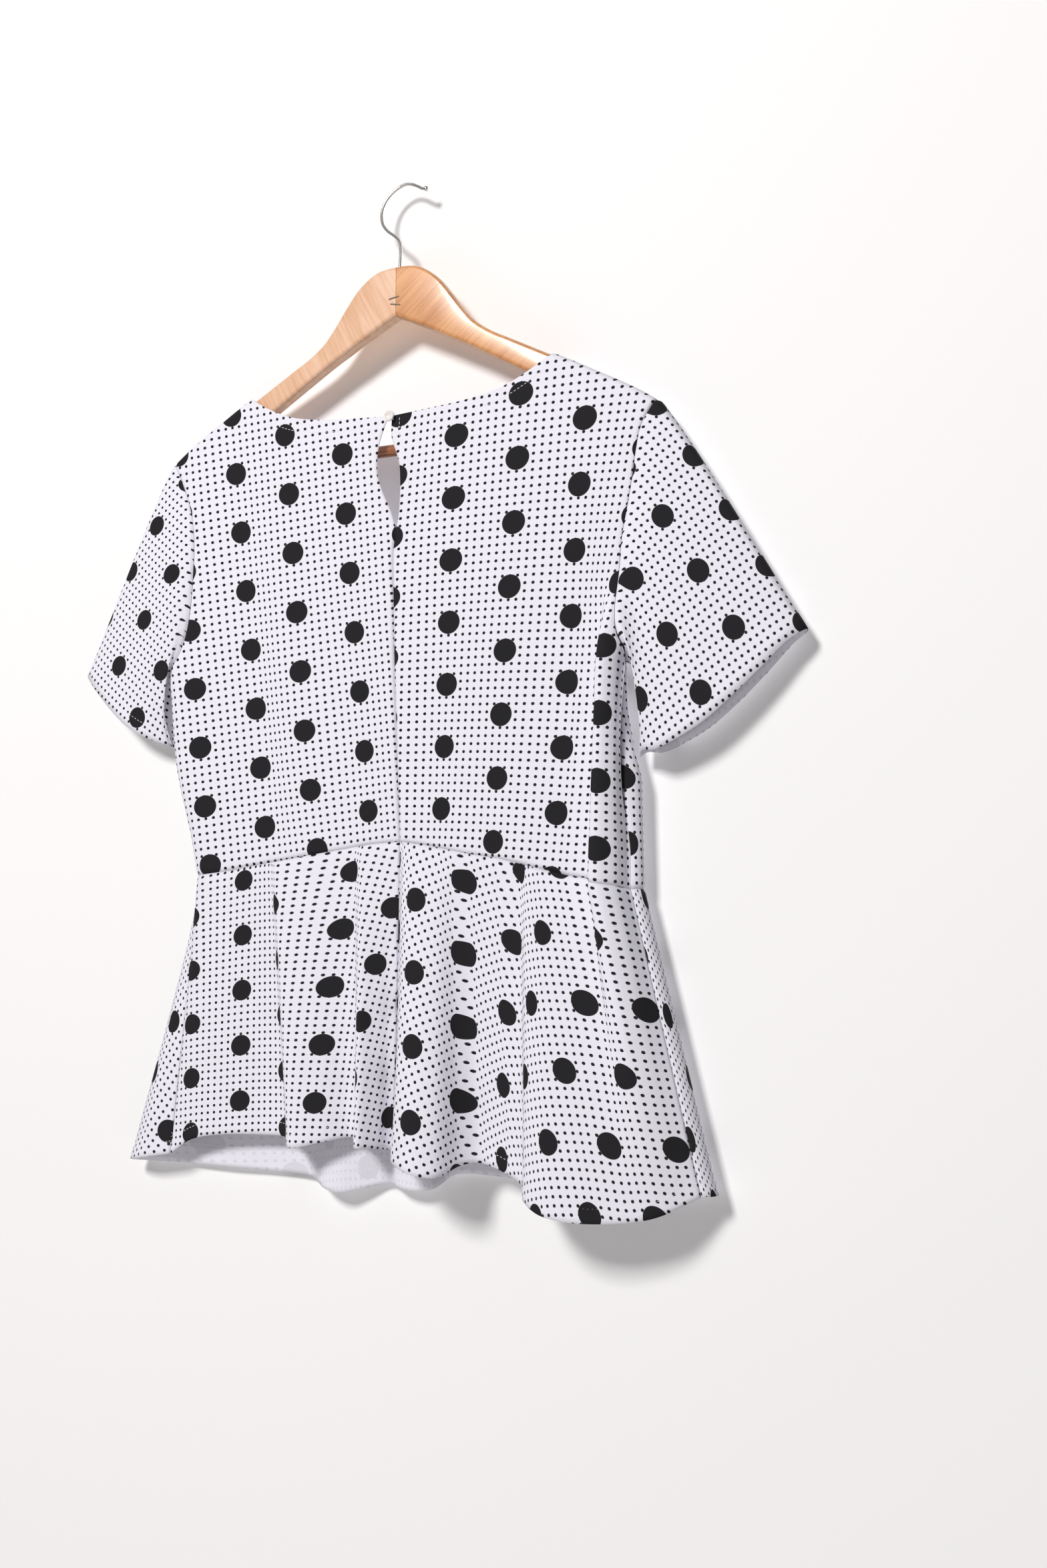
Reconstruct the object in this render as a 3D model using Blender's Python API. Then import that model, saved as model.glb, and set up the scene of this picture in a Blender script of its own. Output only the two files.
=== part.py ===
"""Peplum top on a wooden hanger, hung from a nail: back towards -Y, front towards the wall at +Y.

The origin is where the hook rests on its nail. Units are metres, tables are in millimetres.
A bodice point is found from its girth, measured flat from the middle and round the side folds,
and its height. Left and right are those of the view of the back.
"""

import math

import bmesh
import bpy
from mathutils import Vector

MM = 0.001

# Cloth and seams
WALL = 1.0
SEAM_GAP = 0.3
HALF_GAP = SEAM_GAP / 2
SIDE_TRIM = 0.35
SIDE_ROUND = 16.0

# Depths of the hanging cloth, front to back
BACK_DEPTH = -17.8
BACK_EDGE_RISE = 6.8
FRONT_DEPTH = 7.5
CHEST_HALF_WIDTH = 200.0
SHOULDER_ROUND = 6.0
SHOULDER_HALF_DEPTH = 8.0
SHOULDER_SETTLE = 70.0
SHOULDER_TILT = 0.012

# Hanger
ARM_SPAN = 203.0
ARM_MIDDLE_DEPTH = -11.0
ARM_CURVE = 9.0
ARM_HALF_THICKNESS = 6.3
ARM_TIP_HALF_THICKNESS = 5.3
ARM_EDGE_ROUND = 3.5
HANGER_CENTRE = 2.0
BAR_RADIUS = 4.7
BAR_HEIGHT = -215.5
BAR_HALF_LENGTH = 168.4
WIRE_RADIUS = 1.25

# Columns and rows of each cloth panel
NECK_COLUMNS = 7
SHOULDER_COLUMNS = 5
ARMHOLE_ROWS = 12
SIDE_ROWS = 7
KEYHOLE_ROWS = 9
PEPLUM_ROWS = 7
PEPLUM_COLUMNS_LEFT = 26
PEPLUM_COLUMNS_RIGHT = 30
PEPLUM_COLUMNS_FRONT = 40
SLEEVE_ROWS = 5

# Shares of an edge taken by its first rows, which are close together where the cloth rounds over
FIRST_DROPS = (0.0, 0.007, 0.018, 0.04)
FIRST_COLUMNS = (0.0, 0.004, 0.011, 0.021)

# Rows between which a bodice panel's columns draw together towards its side fold
CROWDING_STARTS = 3
CROWDING_FULL = 9
FRONT_CROWDING = 0.82
SLEEVE_CROWDING = 0.5

# Half width of the hanger's top edge and height: from centre, top, bottom
HANGER_ARM = (
    (0.15, -72.5, -112.5),
    (9, -72.8, -116.5),
    (18, -74.5, -121),
    (27, -79.5, -125.5),
    (36, -87, -130),
    (46, -99.5, -135.5),
    (56, -113, -140.5),
    (66, -124.5, -146),
    (80, -134.5, -154),
    (95, -142.3, -162.5),
    (131, -160.9, -183),
    (150, -169.8, -193),
    (168.9, -179.4, -206),
    (169.6, -179.9, -221),
    (190, -191.2, -221.5),
    (198, -197, -221),
    (ARM_SPAN, -204, -215),
)

# Top of the shoulder over the hanger: from centre, height
CREST = (
    (0, -86),
    (95, -139.2),
    (135, -159.5),
    (150, -167),
    (166, -175.6),
    (182, -184),
    (198, -193),
    (214, -203.4),
    (240, -222),
)

# Outermost width of the hanging bodice: height, left, right. Above the underarm it runs wide
# of the armholes, so that no side fold forms there.
SIDES = (
    (-190, 245, 240),
    (-300, 230, 225),
    (-350, 222, 205),
    (-378, 218, 191),
    (-396, 214, 186),
    (-430, 211, 187),
    (-456, 207, 191),
    (-480, 200.5, 197),
    (-510, 191, 197.5),
    (-560, 180, 198.5),
)

# Neck edge of the back from the keyhole to the shoulder: from centre, height
BACK_NECK = ((0, -192.4), (36, -190), (64, -187.4), (91, -182.2), (113, -172.8), (135, -159.5))
# Neck edge of the front, the same
FRONT_NECK = ((0, -272), (30, -269), (62, -254), (90, -230), (112, -201), (126, -177), (135, -159.5))
SHOULDER = ((135, -159.5), (150, -167), (166, -175.6), (182, -184), (198, -193), (213, -202.8))

# Centre back: girth, height. The keyhole lies between its left and right edges.
KEYHOLE_LEFT = (
    (-2.6, -192.4),
    (-5.2, -197),
    (-10, -209),
    (-12.6, -220),
    (-13.2, -230),
    (-12.2, -240),
    (-7.5, -253),
    (-1.7, -265),
    (1.2, -273),
    (4.0, -282),
)
KEYHOLE_RIGHT = (
    (0.1, -192.4),
    (-0.4, -197),
    (-0.4, -209),
    (3.6, -221),
    (6.6, -231),
    (7.6, -245),
    (7.3, -258),
    (6.4, -272),
    (4.0, -282),
)
CENTRE_BACK = ((4.0, -282), (1.4, -300), (2, -335), (3.5, -390), (6, -450), (9.2, -521.7))

# Armholes and side seams: girth, height, from the shoulder down
ARMHOLE_BACK_LEFT = (
    (213, -200.2),
    (201, -224),
    (193, -245),
    (189.5, -266),
    (189, -290),
    (191, -321),
    (195, -345),
    (203, -363),
    (213, -375),
    (226, -385),
)
ARMHOLE_BACK_RIGHT = (
    (213, -205.4),
    (202, -224),
    (198, -241),
    (195, -262),
    (190.5, -286),
    (186.5, -307),
    (184, -338),
    (182.5, -360),
    (184, -380),
    (194.9, -397),
)
ARMHOLE_FRONT_LEFT = (
    (213, -200.2),
    (198, -228),
    (189, -262),
    (187, -300),
    (191, -335),
    (203, -363),
    (226, -385),
)
ARMHOLE_FRONT_RIGHT = (
    (213, -205.4),
    (197, -232),
    (188, -270),
    (183.5, -310),
    (182, -345),
    (184.5, -375),
    (194.9, -397),
)
SIDE_SEAM_LEFT = (
    (226, -385),
    (222, -402),
    (220.5, -430),
    (216.2, -456),
    (209.6, -480),
    (200, -510),
    (191.5, -544.4),
)
SIDE_SEAM_RIGHT = (
    (194.9, -397),
    (190, -415),
    (186.5, -440),
    (185.5, -460),
    (186.5, -489),
    (190, -513),
    (192.5, -535),
    (192.5, -559.4),
)

# Waist seam of the back from centre to side: girth, height
WAIST_LEFT = (
    (-9.2, -521.7),
    (16, -523),
    (39, -526),
    (67, -529.5),
    (93, -533),
    (117, -536.3),
    (145, -540.4),
    (191.5, -544.4),
)
WAIST_RIGHT = (
    (9.2, -521.7),
    (30, -524.5),
    (66, -532),
    (89, -535.6),
    (111, -541),
    (139, -547.6),
    (159, -553.6),
    (192.5, -559.4),
)
# Waist seam of the front between its ends: girth as a share of the end's, height
FRONT_WAIST = ((-0.5, -549.5), (0, -553.0), (0.5, -557.0))

# Sleeve hems, from the fold at the top round the back to the underarm: x, depth, height
HEM_BACK_LEFT = (
    (-302, 0, -371.5),
    (-300, -5, -373.5),
    (-293, -9, -380.5),
    (-283, -11, -391),
    (-270, -12.5, -404),
    (-254, -13, -418),
    (-238, -12, -427.5),
    (-225, -9, -433),
    (-216.5, -5.5, -436),
    (-215.3, 0, -437),
)
HEM_BACK_RIGHT = (
    (319, 0, -382),
    (316.5, -5, -384),
    (306, -9, -391.5),
    (290, -12, -407.5),
    (269, -14.5, -427),
    (248, -15.5, -444),
    (228, -15, -455),
    (211, -13, -461.5),
    (200, -7, -461),
    (195.5, 0, -464.5),
)
HEM_FRONT_DEPTH = 7.0
SLEEVE_BULGE = 4.0
SLEEVE_HEAD = 10.0
SLEEVE_DROOP = 0.55
UNDERARM_GAP = 1.2
UNDERARM_EASE = 5.0

# Folds of the peplum, from left to right: girth at the waist, then x, depth and height at the hem
BACK_FOLDS_LEFT = (
    (-191.5, -201.8, -10, -764),
    (-165, -178, -13, -751),
    (-140, -148, -12, -746),
    (-118, -114, -9, -745),
    (-107, -92, -11, -745.5),
    (-103, -77, -30, -751),
    (-76, -54, -25, -746.5),
    (-42, -35, -14, -742.5),
    (-30, -26, -17, -744),
    (-24, -18.5, -32, -748),
    (-9, -9, -20, -749),
    (2, -5, -9.5, -750.5),
    (7, -2.4, -6.6, -751),
    (9.2, -0.4, -6.2, -751),
)
BACK_FOLDS_RIGHT = (
    (9.2, -0.4, -6.2, -751),
    (10.2, 1.6, -7.4, -751),
    (11.2, 4.6, -12.5, -751.3),
    (13, 12, -29, -752.5),
    (19, 19, -43, -755),
    (30, 37, -53, -760.5),
    (42, 56, -47, -763),
    (54, 65, -25, -756.5),
    (65, 77, -14, -755.5),
    (90, 101, -16, -763),
    (108, 114, -22, -769.5),
    (113, 123, -41, -776),
    (123, 141, -49, -784),
    (142, 172, -46, -787),
    (166, 213, -33, -783),
    (192.5, 243, -14, -769),
)
FRONT_FOLDS = (
    (-191.5, -201.8, -10, -764),
    (-187.5, -232, -9, -769),
    (-182, -246.5, -2, -771.5),
    (-174, -241, 6, -773),
    (-145, -205, 8, -773),
    (-110, -155, 7, -774),
    (-85, -115, 8.5, -775),
    (-66, -80, 7, -776.5),
    (-56, -64, -2.5, -783),
    (-46, -50, -3.5, -786),
    (-34, -35, 1, -783.5),
    (-20, -13, 8, -778),
    (-8, 1, 0, -780),
    (8, 17, -1.5, -781),
    (18, 31, 1.5, -778),
    (30, 45, 8.5, -768),
    (62, 85, 9, -768),
    (95, 130, 5, -770),
    (130, 175, 8.5, -771),
    (165, 215, 8, -771),
    (194, 242, 6, -770),
    (206, 250.5, -1, -769),
    (215, 249.5, -8, -769),
    (222.9, 243, -14, -769),
)

# Button at the neck edge, its stem between the two halves, and the thread loop
BUTTON_CENTRE = (-1.25, -193.2)
BUTTON_RADIUS = 4.3
BUTTON_THICKNESS = 2.2
BUTTON_CHAMFER = 0.6
BUTTON_RIM = 1.3
BUTTON_DISH = 0.4
BUTTON_DEPTH = -20.0
STEM_RADIUS = 0.9
STEM_DEPTH = -17.6
LOOP_DEPTH = -19.2
LOOP_RADIUS = 0.4
LOOP_STEPS = 14
# From the button's middle: right, up
LOOP_ROUTE = ((4.6, 1.5), (1.6, 1.9), (-1.2, 1.7), (-2.0, 0.3), (-1.6, -1.3), (1.0, -2.2), (3.4, -2.6))

# Hook, along the wire from the ball to the crown: x, height
HOOK_ROUTE = (
    (21.5, -6.5),
    (16.5, -5.8),
    (12, -3.0),
    (6, 0.2),
    (0, 1.25),
    (-7.5, -1.2),
    (-14, -6.5),
    (-18, -13.5),
    (-19.4, -21.5),
    (-17.5, -30),
    (-12.5, -37),
    (-6, -42.5),
    (-1, -48),
    (1, -56),
    (2, -72.2),
)
HOOK_STEPS = 36
# Thickness of the wire's first points, which form the ball
BALL_SCALE = (1.0, 1.5, 1.5, 1.0)

for leftover in list(bpy.data.objects):
    bpy.data.objects.remove(leftover, do_unlink=True)


def finish_of(name, colour, roughness, metallic=0.0):
    """A plain material with the finish of one kind of piece."""
    material = bpy.data.materials.new(name)
    material.use_nodes = True
    shader = material.node_tree.nodes["Principled BSDF"]
    shader.inputs["Base Color"].default_value = (*colour, 1.0)
    shader.inputs["Roughness"].default_value = roughness
    shader.inputs["Metallic"].default_value = metallic
    return material


crepe = finish_of("dotted_crepe", (0.72, 0.70, 0.78), 0.75)
wood = finish_of("lacquered_wood", (0.72, 0.42, 0.20), 0.35)
bar_wood = finish_of("bar_wood", (0.45, 0.18, 0.07), 0.25)
steel = finish_of("hook_steel", (0.62, 0.60, 0.57), 0.25, 1.0)
pearl = finish_of("pearl_button", (0.80, 0.78, 0.70), 0.20)
thread = finish_of("white_thread", (0.85, 0.84, 0.82), 0.80)


def between(table, key, column=1):
    """The value of a column where the first column reaches key, on straight lines between rows."""
    ordered = sorted(table)
    if key <= ordered[0][0]:
        return ordered[0][column]
    for low, high in zip(ordered, ordered[1:]):
        if key <= high[0]:
            share = (key - low[0]) / (high[0] - low[0])
            return low[column] + share * (high[column] - low[column])
    return ordered[-1][column]


def smooth_line(rows, steps=6):
    """A smooth line through rows of two or more numbers, with the rows themselves kept on it."""
    points = [Vector(row) for row in rows]
    ends = [points[0] * 2 - points[1], *points, points[-1] * 2 - points[-2]]
    line = [points[0]]
    for a, b, c, d in zip(ends, ends[1:], ends[2:], ends[3:]):
        near = (c - a) * min(0.5, (c - b).length / max((c - a).length, 1e-6))
        far = (d - b) * min(0.5, (c - b).length / max((d - b).length, 1e-6))
        for step in range(1, steps + 1):
            t = step / steps
            line.append(
                b * (2 * t**3 - 3 * t**2 + 1)
                + near * (t**3 - 2 * t**2 + t)
                + c * (3 * t**2 - 2 * t**3)
                + far * (t**3 - t**2)
            )
    return line


def spaced(line, shares):
    """Points at these shares of a line's length."""
    lengths = [0.0]
    for a, b in zip(line, line[1:]):
        lengths.append(lengths[-1] + (b - a).length)
    points = []
    for share in shares:
        reach = share * lengths[-1]
        index = 0
        while index < len(line) - 2 and lengths[index + 1] < reach:
            index += 1
        run = lengths[index + 1] - lengths[index]
        points.append(line[index].lerp(line[index + 1], (reach - lengths[index]) / run))
    return points


def evenly(count):
    return [step / count for step in range(count + 1)]


def closer_at_end(count, power=1.8):
    """Shares that draw together towards the far end, where the cloth turns round the side."""
    return [1 - (1 - step / count) ** power for step in range(count + 1)]


def mirrored(rows, side):
    return [(side * row[0], row[1]) for row in rows]


def crest(x):
    """Height of the top of the shoulder."""
    return between(CREST, abs(x)) - SHOULDER_TILT * x


def arm_middle(x):
    """Depth of the middle of the hanger's arm, which bows towards the back at the centre."""
    return ARM_MIDDLE_DEPTH + ARM_CURVE * min(abs(x) / ARM_SPAN, 1.1) ** 2


def rounding(distance, radius):
    """How far a rounded edge has reached its full depth at this distance from its tip."""
    inside = min(max(distance / radius, 0.0), 1.0)
    return math.sqrt(1 - (1 - inside) ** 2)


def face_depth(face, x, z):
    """Depth of the back (-1) or front (+1) of the bodice, before the side folds."""
    middle = arm_middle(x)
    drop = crest(x) - z
    top = middle + face * SHOULDER_HALF_DEPTH * rounding(drop, SHOULDER_ROUND)
    reach = min(abs(x) / CHEST_HALF_WIDTH, 1.1)
    hanging = FRONT_DEPTH if face > 0 else BACK_DEPTH + BACK_EDGE_RISE * reach**2.2
    settled = min(max(drop / SHOULDER_SETTLE, 0.0), 1.0)
    settled = settled * settled * (3 - 2 * settled)
    return top + (hanging - top) * settled


def side_width(side, z):
    return between(SIDES, z, 1 if side < 0 else 2)


def bodice_point(face, girth, z):
    """The point of the bodice at a girth along one face, round the side fold where it reaches it."""
    side = -1 if girth < 0 else 1
    flat = side_width(side, z) - SIDE_ROUND
    beyond = abs(girth) - flat
    if beyond <= 0:
        return Vector((girth, face_depth(face, girth, z), z))
    turn = beyond / SIDE_ROUND
    near = face_depth(face, side * flat, z)
    far = face_depth(-face, side * flat, z)
    middle = (near + far) / 2
    x = side * (flat + SIDE_ROUND * math.sin(turn))
    return Vector((x, middle + (near - middle) * math.cos(turn), z))


def front_girth(side, girth, z):
    """The girth along the front of a point whose girth is given along the back."""
    flat = side_width(side, z) - SIDE_ROUND
    return side * (2 * flat + math.pi * SIDE_ROUND - abs(girth))


def shares_of(line):
    """How far along a line each of its points lies, from 0 to 1."""
    lengths = [0.0]
    for a, b in zip(line, line[1:]):
        lengths.append(lengths[-1] + (b - a).length)
    return [length / lengths[-1] for length in lengths]


def patch(top, bottom, start, end, crowded):
    """A net of points spread between four edges, each a list of points in girth and height.

    Below the armhole each row takes the crowded shares, so that the side fold turns smoothly.
    """
    across, down = len(top) - 1, len(start) - 1
    falls = [(a + b) / 2 for a, b in zip(shares_of(start), shares_of(end))]
    rows = []
    for j in range(down + 1):
        v = falls[j]
        row = []
        for i in range(across + 1):
            u = i / across
            spread = top[i] * (1 - v) + bottom[i] * v + start[j] * (1 - u) + end[j] * u
            corners = (top[0] * (1 - u) + top[-1] * u) * (1 - v)
            corners += (bottom[0] * (1 - u) + bottom[-1] * u) * v
            row.append(spread - corners)
        fade = min(max((j - CROWDING_STARTS) / (CROWDING_FULL - CROWDING_STARTS), 0.0), 1.0)
        own = shares_of(row)
        rows.append(spaced(row, [a + (b - a) * fade for a, b in zip(own, crowded)]))
    return rows


def cloth(name, rows):
    """A closed wall of cloth whose middle is the net of points in rows, given in millimetres."""
    down, across = len(rows) - 1, len(rows[0]) - 1
    shell = bmesh.new()
    bmesh.ops.create_grid(shell, x_segments=across, y_segments=down, size=1.0)
    for corner in shell.verts:
        i = round((corner.co.x + 1) / 2 * across)
        j = round((1 - corner.co.y) / 2 * down)
        corner.co = rows[j][i] * MM
    return placed(name, shell, crepe, wall=WALL * MM)


def placed(name, shape, material, wall=None):
    mesh = bpy.data.meshes.new(name)
    shape.to_mesh(mesh)
    shape.free()
    mesh.materials.append(material)
    mesh.shade_smooth()
    piece = bpy.data.objects.new(name, mesh)
    bpy.context.scene.collection.objects.link(piece)
    if wall:
        thickness = piece.modifiers.new("wall", "SOLIDIFY")
        thickness.thickness = wall
        thickness.offset = 0.0
        thickness.use_even_offset = False
        thickness.use_quality_normals = True
    return piece


def shifted(points, across=0.0, up=0.0):
    return [Vector((point[0] + across, point[1] + up)) for point in points]


def closer_at_start(count):
    """Shares with the first rows close together and the others even."""
    last = FIRST_DROPS[-1]
    others = count - len(FIRST_DROPS) + 1
    return list(FIRST_DROPS) + [last + (1 - last) * step / others for step in range(1, others + 1)]


def closer_at_both(count, crowding):
    """Shares that draw together towards both ends."""
    ends = [math.sin(2 * math.pi * share) / (2 * math.pi) for share in evenly(count)]
    return [share - crowding * end for share, end in zip(evenly(count), ends)]


def tilted(rows, side):
    """Shoulder and neck rows, with the small tilt of the hanger."""
    return [Vector((side * row[0], row[1] - SHOULDER_TILT * side * row[0])) for row in rows]


def down_edge(armhole, side_seam, side):
    """The outer edge of a panel, from the armhole and the side seam under it."""
    upper = spaced(smooth_line(mirrored(armhole, side)), closer_at_start(ARMHOLE_ROWS))
    lower = spaced(smooth_line(mirrored(side_seam, side)), evenly(SIDE_ROWS))
    return upper + lower[1:]


EDGES = {
    -1: (ARMHOLE_BACK_LEFT, SIDE_SEAM_LEFT, WAIST_LEFT, KEYHOLE_LEFT),
    1: (ARMHOLE_BACK_RIGHT, SIDE_SEAM_RIGHT, WAIST_RIGHT, KEYHOLE_RIGHT),
}


def back_bodice(name, side):
    """Half of the back, from centre back to the armhole and side seam."""
    armhole, side_seam, waist, keyhole = EDGES[side]
    neck = tilted(BACK_NECK, side)
    neck[0] = Vector(keyhole[0])
    centre_rows = ARMHOLE_ROWS + SIDE_ROWS - KEYHOLE_ROWS
    top = spaced(smooth_line(neck), closer_at_end(NECK_COLUMNS))
    top += spaced(smooth_line(tilted(SHOULDER, side)), evenly(SHOULDER_COLUMNS))[1:]
    outer = down_edge(armhole, side_seam, side)
    centre = spaced(smooth_line(keyhole), closer_at_start(KEYHOLE_ROWS))
    seam = spaced(smooth_line(CENTRE_BACK), evenly(centre_rows))
    centre += shifted(seam[1:], across=side * HALF_GAP)
    crowded = closer_at_end(len(top) - 1)
    bottom = spaced(smooth_line(mirrored(waist, side)), crowded)
    bottom[0] = centre[-1]
    top[-1] = outer[0]
    bottom[-1] = outer[-1]
    rows = patch(top, bottom, centre, outer, crowded)
    rows[-1] = shifted(rows[-1], up=HALF_GAP)
    net = [[bodice_point(-1, *point) for point in row] for row in rows]
    cloth(name, seamed(net, outer_columns=((-1, -2),)))
    return net


def seamed(net, outer_columns):
    """The net drawn back from its seams: at the shoulders, and at the sides below the armholes."""
    trimmed = [list(row) for row in net]
    for i, point in enumerate(net[0]):
        if abs(point.x) >= SHOULDER[0][0] - HALF_GAP:
            trimmed[0][i] = towards(point, net[1][i], HALF_GAP)
    for j in range(ARMHOLE_ROWS, len(net)):
        for outer, inner in outer_columns:
            trimmed[j][outer] = towards(net[j][outer], net[j][inner], SIDE_TRIM)
    return trimmed


def towards(point, other, distance):
    return point + (other - point).normalized() * distance


def front_bodice():
    """The whole front, from the right side seam round to the left one."""
    edges = {}
    for side, armhole in ((-1, ARMHOLE_FRONT_LEFT), (1, ARMHOLE_FRONT_RIGHT)):
        upper = spaced(smooth_line(mirrored(armhole, side)), closer_at_start(ARMHOLE_ROWS))
        lower = spaced(smooth_line(mirrored(EDGES[side][1], side)), evenly(SIDE_ROWS))
        lower = [Vector((front_girth(side, point[0], point[1]), point[1])) for point in lower]
        edges[side] = upper[:-1] + lower
    neck = tilted(FRONT_NECK, 1)
    half_neck = spaced(smooth_line(neck), closer_at_end(NECK_COLUMNS, power=2.4))
    half_top = half_neck + spaced(smooth_line(tilted(SHOULDER, 1)), evenly(SHOULDER_COLUMNS))[1:]
    top = [Vector((-point[0], point[1] + 2 * SHOULDER_TILT * point[0])) for point in half_top[:0:-1]]
    top += half_top
    top[0] = edges[-1][0]
    top[-1] = edges[1][0]
    left, right = edges[-1][-1], edges[1][-1]
    low = smooth_line((left, FRONT_WAIST[1], right))
    crowded = closer_at_both(len(top) - 1, FRONT_CROWDING)
    bottom = spaced(low, crowded)
    rows = patch(top, bottom, edges[-1], edges[1], crowded)
    rows[-1] = shifted(rows[-1], up=HALF_GAP)
    net = [[bodice_point(1, *point) for point in row] for row in rows]
    trimmed = seamed(net, outer_columns=((0, 1), (-1, -2)))
    cloth("front_bodice", [row[::-1] for row in trimmed])
    return net


def sleeve(name, side, back_net, front_net, hem_rows):
    """A short set-in sleeve, from its underarm seam over the top fold and back to the seam."""
    front_column = 0 if side < 0 else -1
    back_ring = [back_net[j][-1] for j in range(ARMHOLE_ROWS + 1)]
    front_ring = [front_net[j][front_column] for j in range(ARMHOLE_ROWS + 1)]
    hem_back = spaced(smooth_line(hem_rows), closer_at_both(ARMHOLE_ROWS, SLEEVE_CROWDING))
    hem_front = [
        Vector((point[0], HEM_FRONT_DEPTH * fullness(j / ARMHOLE_ROWS), point[2]))
        for j, point in enumerate(hem_back)
    ]
    armhole_ring = back_ring[::-1] + front_ring[1:]
    hem_ring = hem_back[::-1] + hem_front[1:]
    last = len(hem_ring) - 1
    rows = []
    for j in range(SLEEVE_ROWS + 1):
        v = j / SLEEVE_ROWS
        row = []
        for i, (start, finish) in enumerate(zip(armhole_ring, hem_ring)):
            underarm = abs(2 * i / last - 1)
            gap = SEAM_GAP + UNDERARM_GAP * underarm**4
            outward = Vector((side, 0, -SLEEVE_DROOP * (1 - underarm) ** 2)).normalized()
            begin = start + outward * gap
            turn = start + outward * (SLEEVE_HEAD + UNDERARM_EASE * underarm**2)
            point = begin * (1 - v) ** 2 + turn * 2 * v * (1 - v) + finish * v**2
            swell = SLEEVE_BULGE * math.sin(math.pi * v) * math.sin(math.pi * underarm**2)
            point.y += -swell if i < last / 2 else swell
            row.append(point)
        row[0] = row[0] + Vector((0, -HALF_GAP, 0))
        row[-1] = row[-1] + Vector((0, HALF_GAP, 0))
        rows.append(row)
    cloth(name, rows if side > 0 else [row[::-1] for row in rows])


def fullness(share):
    """How far the front of a sleeve hem stands off its middle, from its fold to its underarm."""
    return max(math.sin(math.pi * share), 0.0) ** 0.4


def peplum(name, folds, face, columns, waist_height):
    """One flared piece, straight from its waist seam to the folds of its hem."""
    hem = smooth_line([row[1:] for row in folds], steps=8)
    waist = smooth_line([(row[0], index) for index, row in enumerate(folds)], steps=8)
    shares = list(FIRST_COLUMNS) + evenly(columns)[1:-1] + [1 - share for share in FIRST_COLUMNS[::-1]]
    hem_points, waist_points = matched(hem, waist, shares)
    rows = []
    for j in range(PEPLUM_ROWS + 1):
        v = j / PEPLUM_ROWS
        row = []
        for bottom, girth in zip(hem_points, waist_points):
            z = waist_height(girth)
            top = bodice_point(face, girth, z)
            top.z -= HALF_GAP
            row.append(top.lerp(bottom, v))
        rows.append(row)
    for row in rows:
        row[0] = towards(row[0], row[1], HALF_GAP)
        row[-1] = towards(row[-1], row[-2], HALF_GAP)
    cloth(name, rows)


def matched(hem, waist, shares):
    """Points evenly along the hem, each with the waist girth of the same fold."""
    lengths = [0.0]
    for a, b in zip(hem, hem[1:]):
        lengths.append(lengths[-1] + (b - a).length)
    hem_points, girths = [], []
    for share in shares:
        reach = share * lengths[-1]
        index = 0
        while index < len(hem) - 2 and lengths[index + 1] < reach:
            index += 1
        part = (reach - lengths[index]) / (lengths[index + 1] - lengths[index])
        hem_points.append(hem[index].lerp(hem[index + 1], part))
        girths.append(waist[index][0] + part * (waist[index + 1][0] - waist[index][0]))
    return hem_points, girths


def back_waist(girth):
    rows = [(-row[0], row[1]) for row in WAIST_LEFT] + list(WAIST_RIGHT[1:])
    return between(rows, girth)


def front_waist(girth):
    left, right = SIDE_SEAM_LEFT[-1], SIDE_SEAM_RIGHT[-1]
    reach = front_girth(1, right[0], right[1])
    rows = [(-left[0], left[1]), (reach, right[1])]
    rows += [(share * (reach if share > 0 else left[0]), height) for share, height in FRONT_WAIST]
    return between(rows, girth)


left_net = back_bodice("back_bodice_left", -1)
right_net = back_bodice("back_bodice_right", 1)
front_net = front_bodice()
sleeve("sleeve_left", -1, left_net, front_net, HEM_BACK_LEFT)
sleeve("sleeve_right", 1, right_net, front_net, HEM_BACK_RIGHT)
peplum("back_peplum_left", BACK_FOLDS_LEFT, -1, PEPLUM_COLUMNS_LEFT, back_waist)
peplum("back_peplum_right", BACK_FOLDS_RIGHT, -1, PEPLUM_COLUMNS_RIGHT, back_waist)
peplum("front_peplum", FRONT_FOLDS, 1, PEPLUM_COLUMNS_FRONT, front_waist)


def hanger_arm(name, side):
    """One contoured half of the hanger: rounded bars of wood, skinned from the mitre to the tip."""
    rings = []
    arm = bmesh.new()
    for reach, top, bottom in HANGER_ARM:
        x = side * reach
        share = reach / ARM_SPAN
        half = ARM_HALF_THICKNESS + (ARM_TIP_HALF_THICKNESS - ARM_HALF_THICKNESS) * share
        soft = min(ARM_EDGE_ROUND, (top - bottom) * 0.4)
        ring = []
        for quarter in range(4):
            across = 1 if quarter in (0, 3) else -1
            upward = 1 if quarter < 2 else -1
            for step in range(3):
                angle = math.radians(90 * quarter + 45 * step)
                y = arm_middle(x) + across * (half - soft) + soft * math.cos(angle)
                z = (top - soft if upward > 0 else bottom + soft) + soft * math.sin(angle)
                z -= SHOULDER_TILT * x
                ring.append(arm.verts.new(Vector((x + HANGER_CENTRE, y, z)) * MM))
        rings.append(ring)
    for ring in (rings[0], rings[-1]):
        arm.faces.new(ring)
    for near, far in zip(rings, rings[1:]):
        loops = [loop_edges(arm, near), loop_edges(arm, far)]
        bmesh.ops.bridge_loops(arm, edges=loops[0] + loops[1])
    bmesh.ops.recalc_face_normals(arm, faces=arm.faces)
    piece = placed(name, arm, wood)
    piece.data.set_sharp_from_angle(angle=math.radians(40))


def loop_edges(shape, ring):
    """The edges round one ring of corners."""
    edges = []
    for a, b in zip(ring, ring[1:] + ring[:1]):
        edges.append(shape.edges.get((a, b)) or shape.edges.new((a, b)))
    return edges


hanger_arm("hanger_arm_left", -1)
hanger_arm("hanger_arm_right", 1)


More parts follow.
